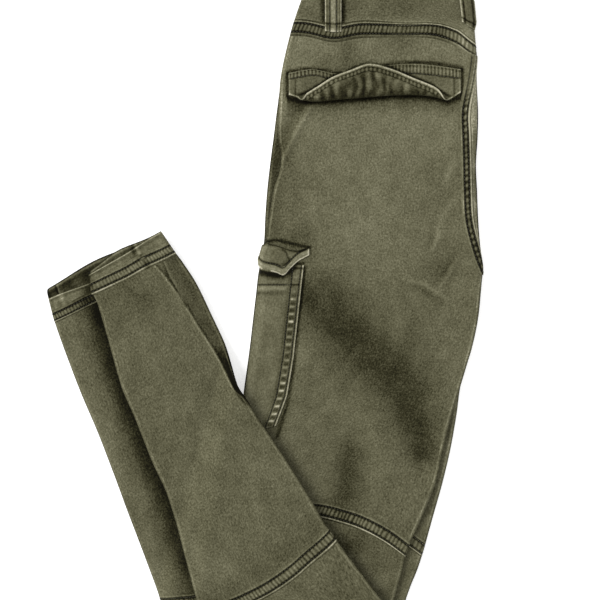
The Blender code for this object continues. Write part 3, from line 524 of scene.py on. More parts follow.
def settle(points):
    """The seam of the waist sags beside the belt loop and bows up towards the fold, and all
    layers with it."""
    x, y, z = np.moveaxis(np.asarray(points, float), -1, 0)
    cx, cy, wide, tall, depth = WAIST_DIP
    y = y - depth * bell(x - cx, wide) * bell(y - cy, tall)
    cx, cy, wide, tall, height = WAIST_BOW
    y = y + height * bell(x - cx, wide) * smooth((233.0 - x) / 24.0) * bell(y - cy, tall)
    cx, cy, reach, push = CUFF_BULGE
    push = push * bell(np.hypot(x - cx, y - cy), reach) * smooth((z - 12.5) / 2.0)
    return np.stack((x - 0.95 * push, y - 0.30 * push, np.maximum(z, 0.0)), axis=-1)


def to_world(points):
    points = settle(points)
    return (points - np.array((*CENTRE, 0.0))) / 1000


def grid_faces(rows, columns, closed=False, flip=False, first=0):
    i = np.arange(rows if closed else rows - 1)[:, None]
    j = np.arange(columns - 1)[None, :]
    following = (i + 1) % rows
    corners = np.stack((i * columns + j, i * columns + j + 1, following * columns + j + 1,
                        following * columns + j), axis=-1).reshape(-1, 4) + first
    return corners[:, ::-1] if flip else corners


SHEETS = []             # (object, points) of every cloth piece


def cloth_mesh(name, points, look, wear_and_highlight=None, shade=None, run=None, closed=False, flip=False,
               thickness=SHEET, along=None):
    """A grid of cloth as an object: UVs in metres, worn places and painted highlights, and painted shade, on its
    points, and a wall.
    """
    rows, columns = points.shape[:2]
    faces = grid_faces(rows, columns, closed, not flip)
    mesh = bpy.data.meshes.new(name)
    mesh.from_pydata(to_world(points).reshape(-1, 3).tolist(), [], faces.tolist())
    if run is None:
        steps = np.linalg.norm(np.diff(points, axis=1), axis=-1)
        run = np.concatenate((np.zeros((rows, 1)), np.cumsum(steps, axis=1)), axis=1)
    if along is None:
        steps = np.linalg.norm(np.diff(points, axis=0), axis=-1).mean(axis=1)
        along = np.concatenate(([0.0], np.cumsum(steps)))
    length = np.repeat(np.asarray(along)[:, None], columns, axis=1) if np.ndim(along) == 1 else along
    middle = run[:, columns // 2][:, None]
    uv = np.stack((run - middle, length), axis=-1).reshape(-1, 2) / 1000
    loops = np.empty(len(mesh.loops), dtype=np.int32)
    mesh.loops.foreach_get("vertex_index", loops)
    layer = mesh.uv_layers.new(name="UVMap")
    layer.data.foreach_set("uv", uv[loops].ravel().astype(np.float32))
    # One attribute lightens for worn places and painted highlights; shade darkens with painted shade.
    for label, values in (("wear_and_highlight", wear_and_highlight), ("shade", shade)):
        values = np.zeros(points.shape[:2]) if values is None else np.broadcast_to(values, points.shape[:2])
        attribute = mesh.attributes.new(label, "FLOAT", "POINT")
        attribute.data.foreach_set("value", values.ravel().astype(np.float32))
    mesh.shade_smooth()
    piece = bpy.data.objects.new(name, mesh)
    bpy.context.scene.collection.objects.link(piece)
    piece.data.materials.append(look)
    if thickness:
        wall = piece.modifiers.new("wall", "SOLIDIFY")
        wall.thickness = thickness / 1000
        wall.offset = -1.0
    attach(piece, "root")
    SHEETS.append((piece, points))
    return piece


def declare_sheets():
    """Width, length and area of every cloth piece, worked out but not passed on."""
    for piece, points in SHEETS:
        across = np.linalg.norm(np.diff(points, axis=1), axis=-1).sum(axis=1)
        along = np.linalg.norm(np.diff(points, axis=0), axis=-1).sum(axis=0)
        a, b = points[1:, 1:] - points[:-1, :-1], points[:-1, 1:] - points[1:, :-1]
        area = np.linalg.norm(np.cross(a, b), axis=-1).sum() / 2
        width, length = float(np.percentile(across, 98)), float(np.percentile(along, 98))
        width, length = max(width, 10.2), max(length, 10.2)
        area = min(max(area, 0.31 * width * length), 0.999 * width * length)


# ---------------------------------------------------------------- materials

def twill(name, mottle=1.0, lift=0.0, seed=0.0, rough=0.90):
    """Garment-dyed twill: lengthwise streaks, fine grain, soft mottling, and, where the mesh says so, worn places and
    painted highlights, and painted shade.
    The ramp goes from painted shade in deep folds to bare worn edges."""
    look = bpy.data.materials.new(name)
    look.use_nodes = True
    nodes, links = look.node_tree.nodes, look.node_tree.links
    shader = nodes["Principled BSDF"]
    shader.inputs["Roughness"].default_value = 0.88
    shader.inputs["Specular IOR Level"].default_value = 0.10
    place = nodes.new("ShaderNodeUVMap")
    place.uv_map = "UVMap"

    def noise(scale, detail, roughness):
        mapping = nodes.new("ShaderNodeMapping")
        mapping.inputs["Location"].default_value = (seed, seed * 0.7, seed * 1.3)
        mapping.inputs["Scale"].default_value = scale
        links.new(place.outputs["UV"], mapping.inputs["Vector"])
        texture = nodes.new("ShaderNodeTexNoise")
        texture.inputs["Scale"].default_value = 1.0
        texture.inputs["Detail"].default_value = detail
        texture.inputs["Roughness"].default_value = roughness
        links.new(mapping.outputs["Vector"], texture.inputs["Vector"])
        return texture.outputs["Fac"]

    def sum_of(start, *terms):
        total = None
        for value, factor in terms:
            step = nodes.new("ShaderNodeMath")
            step.operation = "MULTIPLY_ADD"
            links.new(value, step.inputs[0])
            step.inputs[1].default_value = factor
            if total is None:
                step.inputs[2].default_value = start
            else:
                links.new(total, step.inputs[2])
            total = step.outputs[0]
        return total

    def attribute(label):
        node = nodes.new("ShaderNodeAttribute")
        node.attribute_name = label
        return node.outputs["Fac"]

    broad = noise((14, 9, 1), 3.0, 0.55)
    blotch = noise((70, 45, 1), 4.0, 0.65)
    streak = noise((540, 230, 1), 3.0, 0.7)
    grain = noise((560, 480, 1), 2.0, 0.8)
    terms = ((broad, 0.22 * mottle), (blotch, 0.34 * mottle), (streak, 0.48), (grain, rough))
    start = 0.514 + lift - sum(factor for _, factor in terms) / 2
    # The first attribute lightens for worn places and painted highlights; shade darkens with painted shade and random
    # tone.
    level = sum_of(start, *terms, (attribute("wear_and_highlight"), 0.42), (attribute("shade"), -0.42))
    ramp = nodes.new("ShaderNodeValToRGB")
    stops = ((0.0, (0.004, 0.0035, 0.0008)), (0.22, (0.028, 0.026, 0.0105)), (0.5, (0.103, 0.098, 0.056)),
             (0.75, (0.196, 0.188, 0.119)), (1.0, (0.47, 0.445, 0.325)))
    ramp.color_ramp.elements[0].position = stops[0][0]
    ramp.color_ramp.elements[0].color = (*stops[0][1], 1)
    ramp.color_ramp.elements[1].position = stops[-1][0]
    ramp.color_ramp.elements[1].color = (*stops[-1][1], 1)
    for position, colour in stops[1:-1]:
        ramp.color_ramp.elements.new(position).color = (*colour, 1)
    links.new(level, ramp.inputs["Fac"])
    links.new(ramp.outputs["Color"], shader.inputs["Base Color"])
    relief = sum_of(0.0, (streak, 0.6), (grain, 0.6), (blotch, 0.5))
    bump = nodes.new("ShaderNodeBump")
    bump.inputs["Strength"].default_value = 0.55
    bump.inputs["Distance"].default_value = 0.0009
    links.new(relief, bump.inputs["Height"])
    links.new(bump.outputs["Normal"], shader.inputs["Normal"])
    return look


def plain(name, colour, roughness):
    look = bpy.data.materials.new(name)
    look.use_nodes = True
    shader = look.node_tree.nodes["Principled BSDF"]
    shader.inputs["Base Color"].default_value = (*colour, 1)
    shader.inputs["Roughness"].default_value = roughness
    return look


def thread_look():
    """Dark olive thread, its colour varied a little from stitch to stitch."""
    look = plain("thread", (0.02, 0.019, 0.011), 0.7)
    nodes, links = look.node_tree.nodes, look.node_tree.links
    place = nodes.new("ShaderNodeTexCoord")
    texture = nodes.new("ShaderNodeTexNoise")
    texture.inputs["Scale"].default_value = 260.0
    links.new(place.outputs["Object"], texture.inputs["Vector"])
    ramp = nodes.new("ShaderNodeValToRGB")
    ramp.color_ramp.elements[0].position, ramp.color_ramp.elements[1].position = 0.35, 0.75
    ramp.color_ramp.elements[0].color = (0.006, 0.006, 0.003, 1)
    ramp.color_ramp.elements[1].color = (0.055, 0.052, 0.030, 1)
    links.new(texture.outputs["Fac"], ramp.inputs["Fac"])
    links.new(ramp.outputs["Color"], look.node_tree.nodes["Principled BSDF"].inputs["Base Color"])
    return look


CLOTH = twill("twill")
TRIM = twill("twill_trim", mottle=1.2, lift=0.03, seed=3.1, rough=0.62)
THREAD = thread_look()


# ---------------------------------------------------------------- panels

def lengths(first, last, step):
    """Stations from first to last, about step mm apart (a row is about 32 mm)."""
    return np.linspace(first, last, max(int(round((last - first) * 32.0 / step)), 4))


def edge_wear(run, x, y, strength=0.8):
    """A thin worn line along both side edges of a grid, stronger in places."""
    last = run[:, -1][:, None]
    line = bell(run - 4.4, 0.75) + bell(last - run - 4.4, 0.75)
    line = line + 0.15 * (bell(run - 3.0, 2.2) + bell(last - run - 3.0, 2.2))
    return strength * line * (0.6 + 0.4 * rumple(x, y, 13.0, 55))


def edge_shade(run):
    """The sides below the worn line turn away and stay dark."""
    last = run[:, -1][:, None]
    return 0.35 * (smooth((3.0 - run) / 2.0) + smooth((3.0 - last + run) / 2.0))


def panel(name, leg, outer, first, last, count, step, relief, wear_and_light, seat=False, worn=0.8, lift=0.0):
    stations = lengths(first, last, step)
    points, run, s, t = half_grid(leg, outer, stations, count, relief, seat, lift)
    # The given function returns worn places with painted highlights, and painted shade.
    wear_and_highlight, shade = wear_and_light(points[..., 0], points[..., 1], s, t)
    wear_and_highlight = wear_and_highlight + edge_wear(run, points[..., 0], points[..., 1], strength=worn)
    shade = shade + edge_shade(run) * (worn > 0)
    piece = cloth_mesh(name, points, CLOTH, wear_and_highlight, shade, run, flip=outer)
    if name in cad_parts:
        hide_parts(name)
    return piece


def build_panels():
    fine = 1.9
    coarse = 3.6
    made = {}
    jobs = [
        ("right_back", "right", True, WAIST + 0.007, KNEE_SEAM - 0.007, 84, coarse, None, right_back_wear_and_painted_light, True),
        ("right_front", "right", False, WAIST + 0.02, FOLD + 0.95, 70, coarse, plain_relief, inner_painted_shade, False),
        ("left_front", "left", True, WAIST + 0.02, FOLD + 0.95, 70, coarse, plain_relief, inner_painted_shade, False),
        ("left_back", "left", False, WAIST + 0.007, KNEE_SEAM - 0.007, 136, fine, thigh_relief, thigh_wear_and_painted_light, True),
        ("left_knee_back", "left", False, KNEE_SEAM + 0.007, SHIN_SEAM - 0.02, 110, 2.4, knee_flat, thigh_knee_painted_shade, False),
        ("right_knee_back", "right", True, KNEE_SEAM + 0.007, SHIN_SEAM - 0.02, 110, 2.0, knee_relief, knee_wear_and_painted_light, False),
        ("left_shin_back", "left", False, SHIN_SEAM + 0.01, CUFF_SEAM - 0.01, 60, coarse, plain_relief, plain_painted_shade, False),
        ("left_shin_front", "left", True, SHIN_START + 0.01, CUFF_SEAM - 0.01, 96, 2.4, under_shin_relief, under_shin_painted_light, False, 0.3),
        ("right_shin_front", "right", False, SHIN_START + 0.01, CUFF_SEAM - 0.01, 60, coarse, plain_relief, plain_painted_shade, False),
        ("right_shin_back", "right", True, SHIN_SEAM + 0.01, CUFF_SEAM - 0.01, 120, fine, shin_relief, shin_wear_and_painted_light, False, 0.45),
    ]
    for name, *job in jobs:
        made[name] = panel(name, *job)
    return made


def knee_flat(x, y, s, t):
    open_top = thigh_cover(x, y) * (s < FOLD - 0.4)
    return -0.4 + (0.9 * rumple(x, y, 24.0, 61) + 0.3 * rumple(x, y, 10.0, 62)) * open_top


# ---------------------------------------------------------------- stitches

STITCHES = []           # (middle, direction, normal) of every stitch, mm
STITCH_PITCH = 3.3
STITCH_LENGTH = 2.3
STITCH_RADIUS = 0.42


def unit(vectors):
    return vectors / np.maximum(np.linalg.norm(vectors, axis=-1, keepdims=True), 1e-9)


def sew(line, normals, pitch=STITCH_PITCH, sink=0.0):
    """Stitches along a line of points, each with the surface's normal there."""
    run = np.concatenate(([0.0], np.cumsum(np.linalg.norm(np.diff(line, axis=0), axis=1))))
    for place in np.arange(pitch / 2, run[-1], pitch):
        middle = np.array([np.interp(place, run, line[:, k]) for k in range(3)])
        ahead = np.array([np.interp(place + 0.8, run, line[:, k]) for k in range(3)])
        normal = np.array([np.interp(place, run, normals[:, k]) for k in range(3)])
        if np.linalg.norm(ahead - middle) > 1e-6:
            STITCHES.append((middle - normal * sink, unit(ahead - middle), unit(normal)))


def build_stitches():
    """All stitches as one mesh of short rounded lengths of thread."""
    sides = 5
    points, faces = [], []
    for middle, direction, normal in STITCHES:
        across = np.cross(direction, normal)
        first = len(points)
        points.append(middle - direction * STITCH_LENGTH / 2 - normal * 0.25)
        for place in (-0.3, 0.3):
            for k in range(sides):
                turn = 2 * pi * k / sides
                points.append(middle + direction * STITCH_LENGTH * place
                              + STITCH_RADIUS * (np.sin(turn) * normal + np.cos(turn) * across))
        points.append(middle + direction * STITCH_LENGTH / 2 - normal * 0.25)
        last = first + 2 * sides + 1
        for k in range(sides):
            m = (k + 1) % sides
            faces.append((first, first + 1 + m, first + 1 + k))
            faces.append((first + 1 + k, first + 1 + m, first + 1 + sides + m, first + 1 + sides + k))
            faces.append((first + 1 + sides + k, first + 1 + sides + m, last))
    mesh = bpy.data.meshes.new("stitches")
    mesh.from_pydata(to_world(points).tolist(), [], faces)
    mesh.shade_smooth()
    mesh.materials.append(THREAD)
    piece = bpy.data.objects.new("stitches", mesh)
    bpy.context.scene.collection.objects.link(piece)
    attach(piece, "root")


def normals_of(points):
    """Unit normals of a grid of points, pointing along its columns crossed with its rows."""
    along = np.gradient(points, axis=0)
    across = np.gradient(points, axis=1)
    return unit(np.cross(along, across))


# ---------------------------------------------------------------- double-stitched seams

def seam_lines(gap):
    """Places across a seam, close together at its stitch lines and ridges."""
    outer = gap + np.array((5.0, 3.6, 2.6, 2.0, 1.5, 1.1, 0.7, 0.35, 0.0))
    inner = np.array([part * gap for part in (0.90, 0.78, 0.55, 0.28)])
    half = np.concatenate((outer, inner))
    return np.concatenate((-half, [0.0], half[::-1]))


def seam_profile(v, along, gap, pitch, raised, worn, seed):
    """Height, lightening and shade of a seam at v mm across it: two sunk stitch lines in painted shade, puckers between
    them with painted highlights and painted shade, a bare worn ridge outside the line on the worn side, and painted
    shade beyond it."""
    v = v[:, None] if v.ndim == 1 else v
    side = np.abs(v)
    phase = along / pitch + 0.35 * rumple(along, 0 * along, 9.0, seed) + 0.15 * v / gap
    wave = 0.5 + 0.5 * np.cos(2 * pi * phase)
    strength = 0.75 + 0.25 * rumple(along, 0 * along, 14.0, seed + 1)
    inside = smooth((gap - side) / (0.35 * gap))
    plateau = smooth((gap + 4.4 - side) / 3.6)
    light = wave ** 0.6
    worn_side = np.where(v * worn > 0, 1.0, 0.38) * (0.85 + 0.3 * rumple(along, 0 * along, 19.0, seed + 3))
    height = (raised * plateau + 0.35 - 0.75 * bell(side - gap, 0.8) + 0.42 * wave * strength * inside
              + 0.45 * worn_side * bell(side - gap - 1.8, 0.8) - 0.9 * (1 - smooth((gap + 5.0 - side) / 1.4)))
    shade = (1.60 * bell(side - gap, 1.05) + (0.03 + 0.72 * (1 - light) * strength) * inside
             + 0.50 * bell(side - gap - 3.6, 1.4) * np.where(v * worn > 0, 1.0, 0.35))
    shade = shade + 0.25 * (1 - wave) * bell(side - gap - 1.6, 1.0)
    wear_and_highlight = 1.55 * worn_side * bell(side - gap - 1.95, 0.70) + 0.62 * wave * strength * inside
    return height, wear_and_highlight, shade


def cross_seam(name, leg, outer, station, gap, relief, wear_and_light, pitch=4.0, worn=1, raised=0.9, seat=False,
               span=(0.0, 1.0), seed=70, shift=0.0, flat=False):
    """A seam across half a leg at a station, moved by shift mm along the leg."""
    length = float(width_at(leg, np.array(float(station)))) * (span[1] - span[0])
    count = int(length / (1.0))
    w, o, run = half_section(leg, station, np.linspace(*span, count), seat)
    t = w / float(width_at(leg, np.array(float(station))))
    sign = 1 if outer else -1
    step = surface(leg, np.full(count, station + 0.02), t, sign * o)
    step = step - surface(leg, np.full(count, station - 0.02), t, sign * o)
    rate = np.linalg.norm(step, axis=1) / 0.04
    v = seam_lines(gap)
    sway = 0.7 * rumple(run, 0 * run, 24.0, seed + 5)
    s = station + (v[:, None] + shift + sway[None, :]) / rate[None, :]
    t = np.broadcast_to(t, s.shape)
    o = np.broadcast_to(o, s.shape)
    along = np.broadcast_to(run, s.shape)
    x, y, _ = np.moveaxis(surface(leg, s, t, sign * o), -1, 0)
    height, wear_and_highlight, shade = seam_profile(v, along, gap, pitch, raised, worn, seed)
    height = height + 0.5 * rumple(along, 0 * along, 45.0, seed + 2) * (raised > 0.5)
    if flat:
        height = np.clip(0.15 + 0.12 * height, 0.0, 0.3)
    below = relief(x, y, s, t) * np.clip(o / (TUBE / 2), 0, 1) ** 2 * calm(s) if relief else 0.0
    points = surface(leg, s, t, sign * (o + below + height))
    # Worn places, painted highlights and painted shade of the cloth under the seam.
    base_wear_and_highlight, base_shade = wear_and_light(x, y, s, t) if wear_and_light else (0.0, 0.0)
    piece = cloth_mesh(name, points, TRIM, wear_and_highlight + base_wear_and_highlight, shade + base_shade, along, flip=outer,
                       thickness=0, along=np.broadcast_to(v[:, None], s.shape))
    normals = normals_of(points) * (-1 if outer else 1)
    for line in (-gap, gap):
        row = int(np.argmin(np.abs(v - line)))
        sew(points[row], normals[row], sink=0.3 if flat else -0.15)
    return piece


def round_path(s, past=-1.45):
    """The stack's section near its right edge, over the flat top and down round the fold, as
    (distance from the left end, offset, run), and the run at the seat seam."""
    width = float(width_at("left", np.array(float(s))))
    centre, half_height, reach = edge_shape(s, True)
    start = width - reach
    angles = np.linspace(pi / 2, past, 40)
    w = np.concatenate(([start - 60.0], start + reach * np.cos(angles)))
    o = np.concatenate(([TUBE / 2], centre + half_height * np.sin(angles)))
    run = np.concatenate(([0.0], np.cumsum(np.hypot(np.diff(w), np.diff(o)))))
    turn, back = (float(value) for value in seat_turn(min(float(s), CROTCH)))
    seam = 60.0 - back if back else float(np.interp(pi / 2 - turn, pi / 2 - angles, run[1:]))
    return w, o, run, seam


def seat_seam():
    gap = 2.5
    stations = np.linspace(WAIST + 0.12, CROTCH + 0.05, 330)
    v = seam_lines(gap)
    rows = []
    for s in stations:
        w, o, run, seam = round_path(s)
        rows.append((np.interp(seam + v, run, w), np.interp(seam + v, run, o)))
    w, o = (np.array(column) for column in zip(*rows))
    s = np.repeat(stations[:, None], len(v), axis=1)
    t = w / width_at("left", s)
    flat = surface("left", s, t, -o)
    normal = normals_of(flat)
    along = np.concatenate(([0.0], np.cumsum(np.linalg.norm(np.diff(flat[:, len(v) // 2], axis=0), axis=1))))
    along = np.repeat(along[:, None], len(v), axis=1)
    height, wear_and_highlight, shade = seam_profile(np.broadcast_to(v, s.shape), along, gap, 6.8, 0.8, 1, 90)
    top = np.clip(o / (TUBE / 2), 0, 1) ** 2
    below = thigh_relief(flat[..., 0], flat[..., 1], s, t) * top
    quiet = smooth((s - WAIST - 1.2) / 0.8) * 0.75 + 0.25
    points = flat + normal * (below + height)[..., None]
    light = 0.55 * smooth((flat[..., 1] - 170.0) / 30.0) * (v > 0.0)
    dark = 0.30 * smooth((gap - np.abs(v)) / 0.8)
    cloth_mesh("seat_seam", points, TRIM, wear_and_highlight * quiet + light, (shade + dark) * quiet, np.broadcast_to(v, s.shape), thickness=0,
               along=along)
    for line in (-gap, gap):
        column = int(np.argmin(np.abs(v - line)))
        sew(points[:, column], normal[:, column], sink=-0.15)


def left_cuff_painted_shade(x, y, s, t):
    # Painted shade, deepest where the top cuff overlaps the lower cuff's seam.
    return 0 * x, 0.15 + 0.9 * bell(np.hypot(x + 188.0, y - 8.0), 13.0)


def right_cuff_painted_shade(x, y, s, t):
    # Painted shade at the seam's left end and in a narrow band across it near the hem's bump.
    return 0 * x, 0.5 * bell(t, 0.04) + 0.45 * bell(t - 0.66, 0.03)


def waist_painted_light(x, y, s, t):
    # Painted shade along the waist seam up to the fold, and a painted highlight where it comes round the fold.
    return 0.35 * smooth((x - 205.0) / 12.0), 0.36 * smooth((206.0 - x) / 14.0) + 0 * y


def build_seams():
    cross_seam("waist_seam", "left", False, WAIST, 4.9, thigh_relief, waist_painted_light, 4.1, worn=-1,
               raised=0.6, seat="round", seed=71)
    cross_seam("waist_seam_under", "right", True, WAIST, 4.9, None, plain_painted_shade, 4.1, worn=-1,
               raised=0.0, seat=True, seed=72, flat=True)
    cross_seam("left_knee_seam", "left", False, KNEE_SEAM, 4.9, thigh_relief, thigh_wear_and_painted_light, 4.0, worn=1,
               raised=0.55, seed=73)
    cross_seam("right_knee_seam_front", "right", False, KNEE_SEAM, 4.9, plain_relief, plain_painted_shade, 4.0, worn=1,
               raised=0.2, span=(0.80, 1.0), seed=74)
    cross_seam("right_knee_seam", "right", True, KNEE_SEAM, 4.9, None, plain_painted_shade, 4.0, worn=1,
               raised=0.0, seed=75, flat=True)
    cross_seam("right_shin_seam", "right", True, SHIN_SEAM, 4.9, shin_relief, shin_wear_and_painted_light, 4.0, worn=-1,
               raised=0.6, seed=76)
    cross_seam("left_shin_seam", "left", True, SHIN_SEAM, 4.9, under_shin_relief, under_shin_painted_light, 4.0, worn=-1,
               raised=0.3, seed=77)
    cross_seam("right_cuff_seam", "right", True, CUFF_SEAM, 4.2, shin_relief, right_cuff_painted_shade, 3.5, worn=-1,
               raised=0.55, seed=78, shift=1.0)
    cross_seam("right_cuff_seam_front", "right", False, CUFF_SEAM, 2.8, None, plain_painted_shade, 3.5, worn=-1,
               raised=0.2, seed=79)
    cross_seam("left_cuff_seam", "left", True, CUFF_SEAM, 4.2, under_shin_relief, left_cuff_painted_shade, 3.5, worn=-1,
               raised=0.4, seed=80, shift=-5.0)
    cross_seam("left_cuff_seam_back", "left", False, CUFF_SEAM, 4.2, None, plain_painted_shade, 3.5, worn=-1,
               raised=0.0, seed=81, flat=True)
    seat_seam()


# ---------------------------------------------------------------- hems at the ankles

HEM_BOW = 5.5           # mm that the far edge bows out


def hem(name, leg, visible):
    """A tube of cloth below the cuff seam, its front a little shorter, with a soft rolled edge."""
    count = 90
    parts = np.linspace(0, 1, 33) ** 0.8
    sides = []
    for outer in (True, False):
        w, o, _ = half_section(leg, CUFF_SEAM + 0.02, even(count))
        sign = 1 if outer else -1
        t = (w / float(width_at(leg, np.array(CUFF_SEAM + 0.02))))
        near = smooth(sign * o / TUBE + 0.5)
        if leg == "left":
            short = near * (0.35 + 0.2 * smooth(t / 0.45))
        else:
            short = near * 0.10 * (1 - smooth((t - 0.45) / 0.45))
        s = CUFF_SEAM + 0.02 + (0.98 - short)[:, None] * parts[None, :]
        bow = HEM_BOW * (1 - near) * bell(t - 0.42, 0.30)
        t = t[:, None] + 0 * s
        x, y, _ = np.moveaxis(surface(leg, s, t, sign * o[:, None]), -1, 0)
        puff = 0.7 * bell(parts - 0.93, 0.06) + 0.3 * bell(parts - 0.5, 0.3)
        rumples = 0.35 * rumple(x, y, 7.0, 101) + 0.4 * rumple(x, y, 18.0, 102)
        height = (puff[None, :] + rumples) * np.clip(o / (TUBE / 2), 0, 1)[:, None] * smooth((parts - 0.35) / 0.25)
        if outer != visible:
            height = height * 0.0
        points = surface(leg, s, t, sign * (o[:, None] + height))
        way = unit(points[count // 2, -1] - points[count // 2, 0])
        points = points + (bow[:, None] * parts ** 2)[..., None] * way
        # Worn rim, and lighter on raised lumps; painted shade below the rim, along the rim's outline and on the far
        # side's inside, with random darker tone.
        wear_and_highlight = 0.75 * bell(parts - 0.93, 0.03)[None, :] + 0.40 * np.clip(rumple(x, y, 7.0, 101), 0, 1)
        shade = 0.35 * bell(parts - 0.80, 0.08)[None, :] + 0.35 * np.clip(-rumple(x, y, 6.0, 103), 0, 1)
        shade = shade + 1.1 * bell(parts - 1.0, 0.025)[None, :] + 0.38 * (1 - near)[:, None] * smooth((parts - 0.45) / 0.15)
        bump = bell(t - HEM_BUMP[leg][0], HEM_BUMP[leg][1]) * HEM_BUMP[leg][2]
        points[..., 2] += bump * np.clip(o / (TUBE / 2), 0, 1)[:, None] * (outer == visible)
        # Painted light and shade on the two sides of the bump.
        wear_and_highlight = wear_and_highlight + 0.25 * bump * np.cos((t - HEM_BUMP[leg][0]) / HEM_BUMP[leg][1] * 4)
        if leg == "left":
            # Painted shadow where the top cuff overlaps, and on the far side; a seam line on the inside, dark, with a
            # light line beside it.
            shade = shade + 1.0 * bell(np.hypot(x + 184.0, y - 18.0), 12.0) + 0.25 * (1 - near)[:, None]
            beside, _, way_side = path_distance(x, y, ((-228.0, 26.0), (-222.6, 12.5)))
            shade = shade + 0.9 * bell(beside, 0.9) * (1 - near)[:, None]
            wear_and_highlight = wear_and_highlight + 0.9 * bell(beside - 1.8, 0.8) * (way_side > 0) * (1 - near)[:, None]
        else:
            # Painted shade at the left end and in a narrow band near the bump.
            shade = shade + 0.8 * bell(t - 0.0, 0.03) + 0.45 * bell(t - 0.60, 0.05)
        sides.append((points, wear_and_highlight, shade + 0.25 * bump * np.sin((t - HEM_BUMP[leg][0]) / HEM_BUMP[leg][1] * 5)))
    (first, wear_and_highlight_a, shade_a), (second, wear_and_highlight_b, shade_b) = sides
    points = np.concatenate((first, second[::-1]))
    wear_and_highlight = np.concatenate((wear_and_highlight_a, wear_and_highlight_b[::-1]))
    shade = np.concatenate((shade_a, shade_b[::-1]))
    piece = cloth_mesh(name, points, TRIM, wear_and_highlight, shade, closed=True, flip=False, thickness=1.5)
    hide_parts(name)
    return piece


HEM_BUMP = {"left": (0.12, 0.05, 0.5), "right": (0.66, 0.07, 1.2)}     # place, reach and height, per leg


# ---------------------------------------------------------------- waistband and belt loops

def waist_way():
    """Way round the folded waistband: (fraction of width, extra mm, z), top side first."""
    way = [(t, 0.0, TOP) for t in np.linspace(0.96, 0.03, 60)]
    for middle in (LAYER + TUBE / 2, TUBE / 2):
        way += [(0.0, CURL * (1 - np.sin(a)), middle + TUBE / 2 * np.cos(a)) for a in np.linspace(0, pi, 12)]
        if middle > LAYER:
            way += [(t, 0.0, LAYER) for t in np.linspace(0.1, 0.9, 20)]
            way += [(0.93, GAP / 2 * np.sin(a), LAYER - GAP / 2 + GAP / 2 * np.cos(a)) for a in (0.5, 1.6, 2.6)]
            way += [(t, 0.0, TUBE) for t in np.linspace(0.9, 0.1, 20)]
    way += [(t, 0.0, 0.0) for t in np.linspace(0.1, 0.92, 30)]
    way += [(1.0, -WRAP * (1 - np.sin(a)), TOP / 2 * (1 - np.cos(a))) for a in np.linspace(0, pi, 16)]
    return np.array(way)


def waistband():
    way = waist_way()
    parts = np.linspace(0.006, 1.0, 24)
    s = WAIST * (1 - parts)[None, :] + 0 * way[:, :1]
    width = width_at("left", s)
    t = way[:, :1] + way[:, 1:2] / width
    x, y, _ = np.moveaxis(surface("left", s, t, 0 * s), -1, 0)
    on_top = (way[:, 2:3] > TOP - 0.5) * 1.0
    rumples = 0.9 * rumple(x, y, 34.0, 111, 0.8) + 0.3 * rumple(x, y, 12.0, 112)
    z = way[:, 2:3] + on_top * rumples * smooth((x - 45) / 20) * smooth((222 - x) / 14) * smooth((parts - 0.2) / 0.2)
    points = np.stack((x, y, z), axis=-1)
    # Lighter towards the right end, along a line near the waist seam and at the right end; painted shade beside the
    # belt loop, with random tone.
    wear_and_highlight = 0.04 + 0.22 * smooth((x - 150.0) / 50.0) + 0.30 * bell(parts - 0.16, 0.05)[None, :] + 0.35 * bell(x - 222.0, 8.0) + 0 * x
    shade = 0.16 + 0.15 * rumple(x, y, 20.0, 113) + 0.9 * bell(x - SIDE_LOOP[0] + 1.5, 2.6)
    shade = shade + 0.9 * bell(x - SIDE_LOOP[1] - 1.5, 2.6)
    piece = cloth_mesh("waistband", points, CLOTH, wear_and_highlight, shade, closed=True, flip=True, thickness=1.3)
    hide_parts("waistband")


SIDE_LOOP = (66.4, 84.2)


def side_belt_loop():
    """A strap with turned-in edges, two rows of stitches and a bar tack at its foot."""
    low, high = SIDE_LOOP
    across = np.linspace(0, 1, 25)
    parts = np.linspace(0, 1, 70)
    s = WAIST * (1 - (0.02 + 0.97 * parts))[:, None] + 0 * across[None, :]
    xl, _, xr, _, _ = leg_line("left", "thigh", s)
    x = low + (high - low) * across[None, :] + 0 * s
    t = (x - xl) / (xr - xl)
    edge = np.minimum(across, 1 - across)[None, :] * (high - low)
    lift = 0.6 + 2.0 * smooth(parts / 0.28)[:, None] * smooth((1 - parts) / 0.2)[:, None]
    lift = lift + 0.7 * smooth(edge / 1.3) - 0.55 * bell(edge - 5.2, 0.9) + 0.35 * bell(edge - 8.9, 1.6)
    foot = parts * 50.0
    tack = bell(foot - 7.6, 1.0)
    lift = lift - 0.5 * tack[:, None] + 0.45 * bell(foot - 2.0, 1.4)[:, None]
    points = surface("left", s, t, -(TUBE / 2 + lift + 0.9))
    # Painted shade in the stitch grooves, inside the edges and at the foot, the bar tack darker with thread and painted
    # shade; worn edges and foot, and lighter overall.
    shade = 1.1 * bell(edge - 5.2, 0.9) + 1.1 * tack[:, None] + 0.75 * bell(edge - 2.1, 0.9)
    shade = shade + 0.35 * bell(foot - 4.8, 1.0)[:, None]
    wear_and_highlight = 0.75 * bell(edge - 0.5, 0.9) + 0.8 * bell(foot - 0.6, 1.0)[:, None] + 0.25 * bell(edge - 8.0, 1.5)
    wear_and_highlight = wear_and_highlight + 0.20
    piece = cloth_mesh("belt_loop_side", points, TRIM, wear_and_highlight, shade, flip=True, thickness=1.2)
    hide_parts("belt_loop_side")
    normals = np.broadcast_to(np.array((0.0, 0.0, 1.0)), points[:, 0].shape)
    for column in (7, 17):
        sew(points[:, column], normals, 2.9, sink=-0.2)


BACK_LOOP_TURN = (-0.85, 0.97)
BACK_LOOP_FLAT = 9.0
BACK_LOOP_FOOT = 0.40   # place of its foot, as a part of the waistband's height


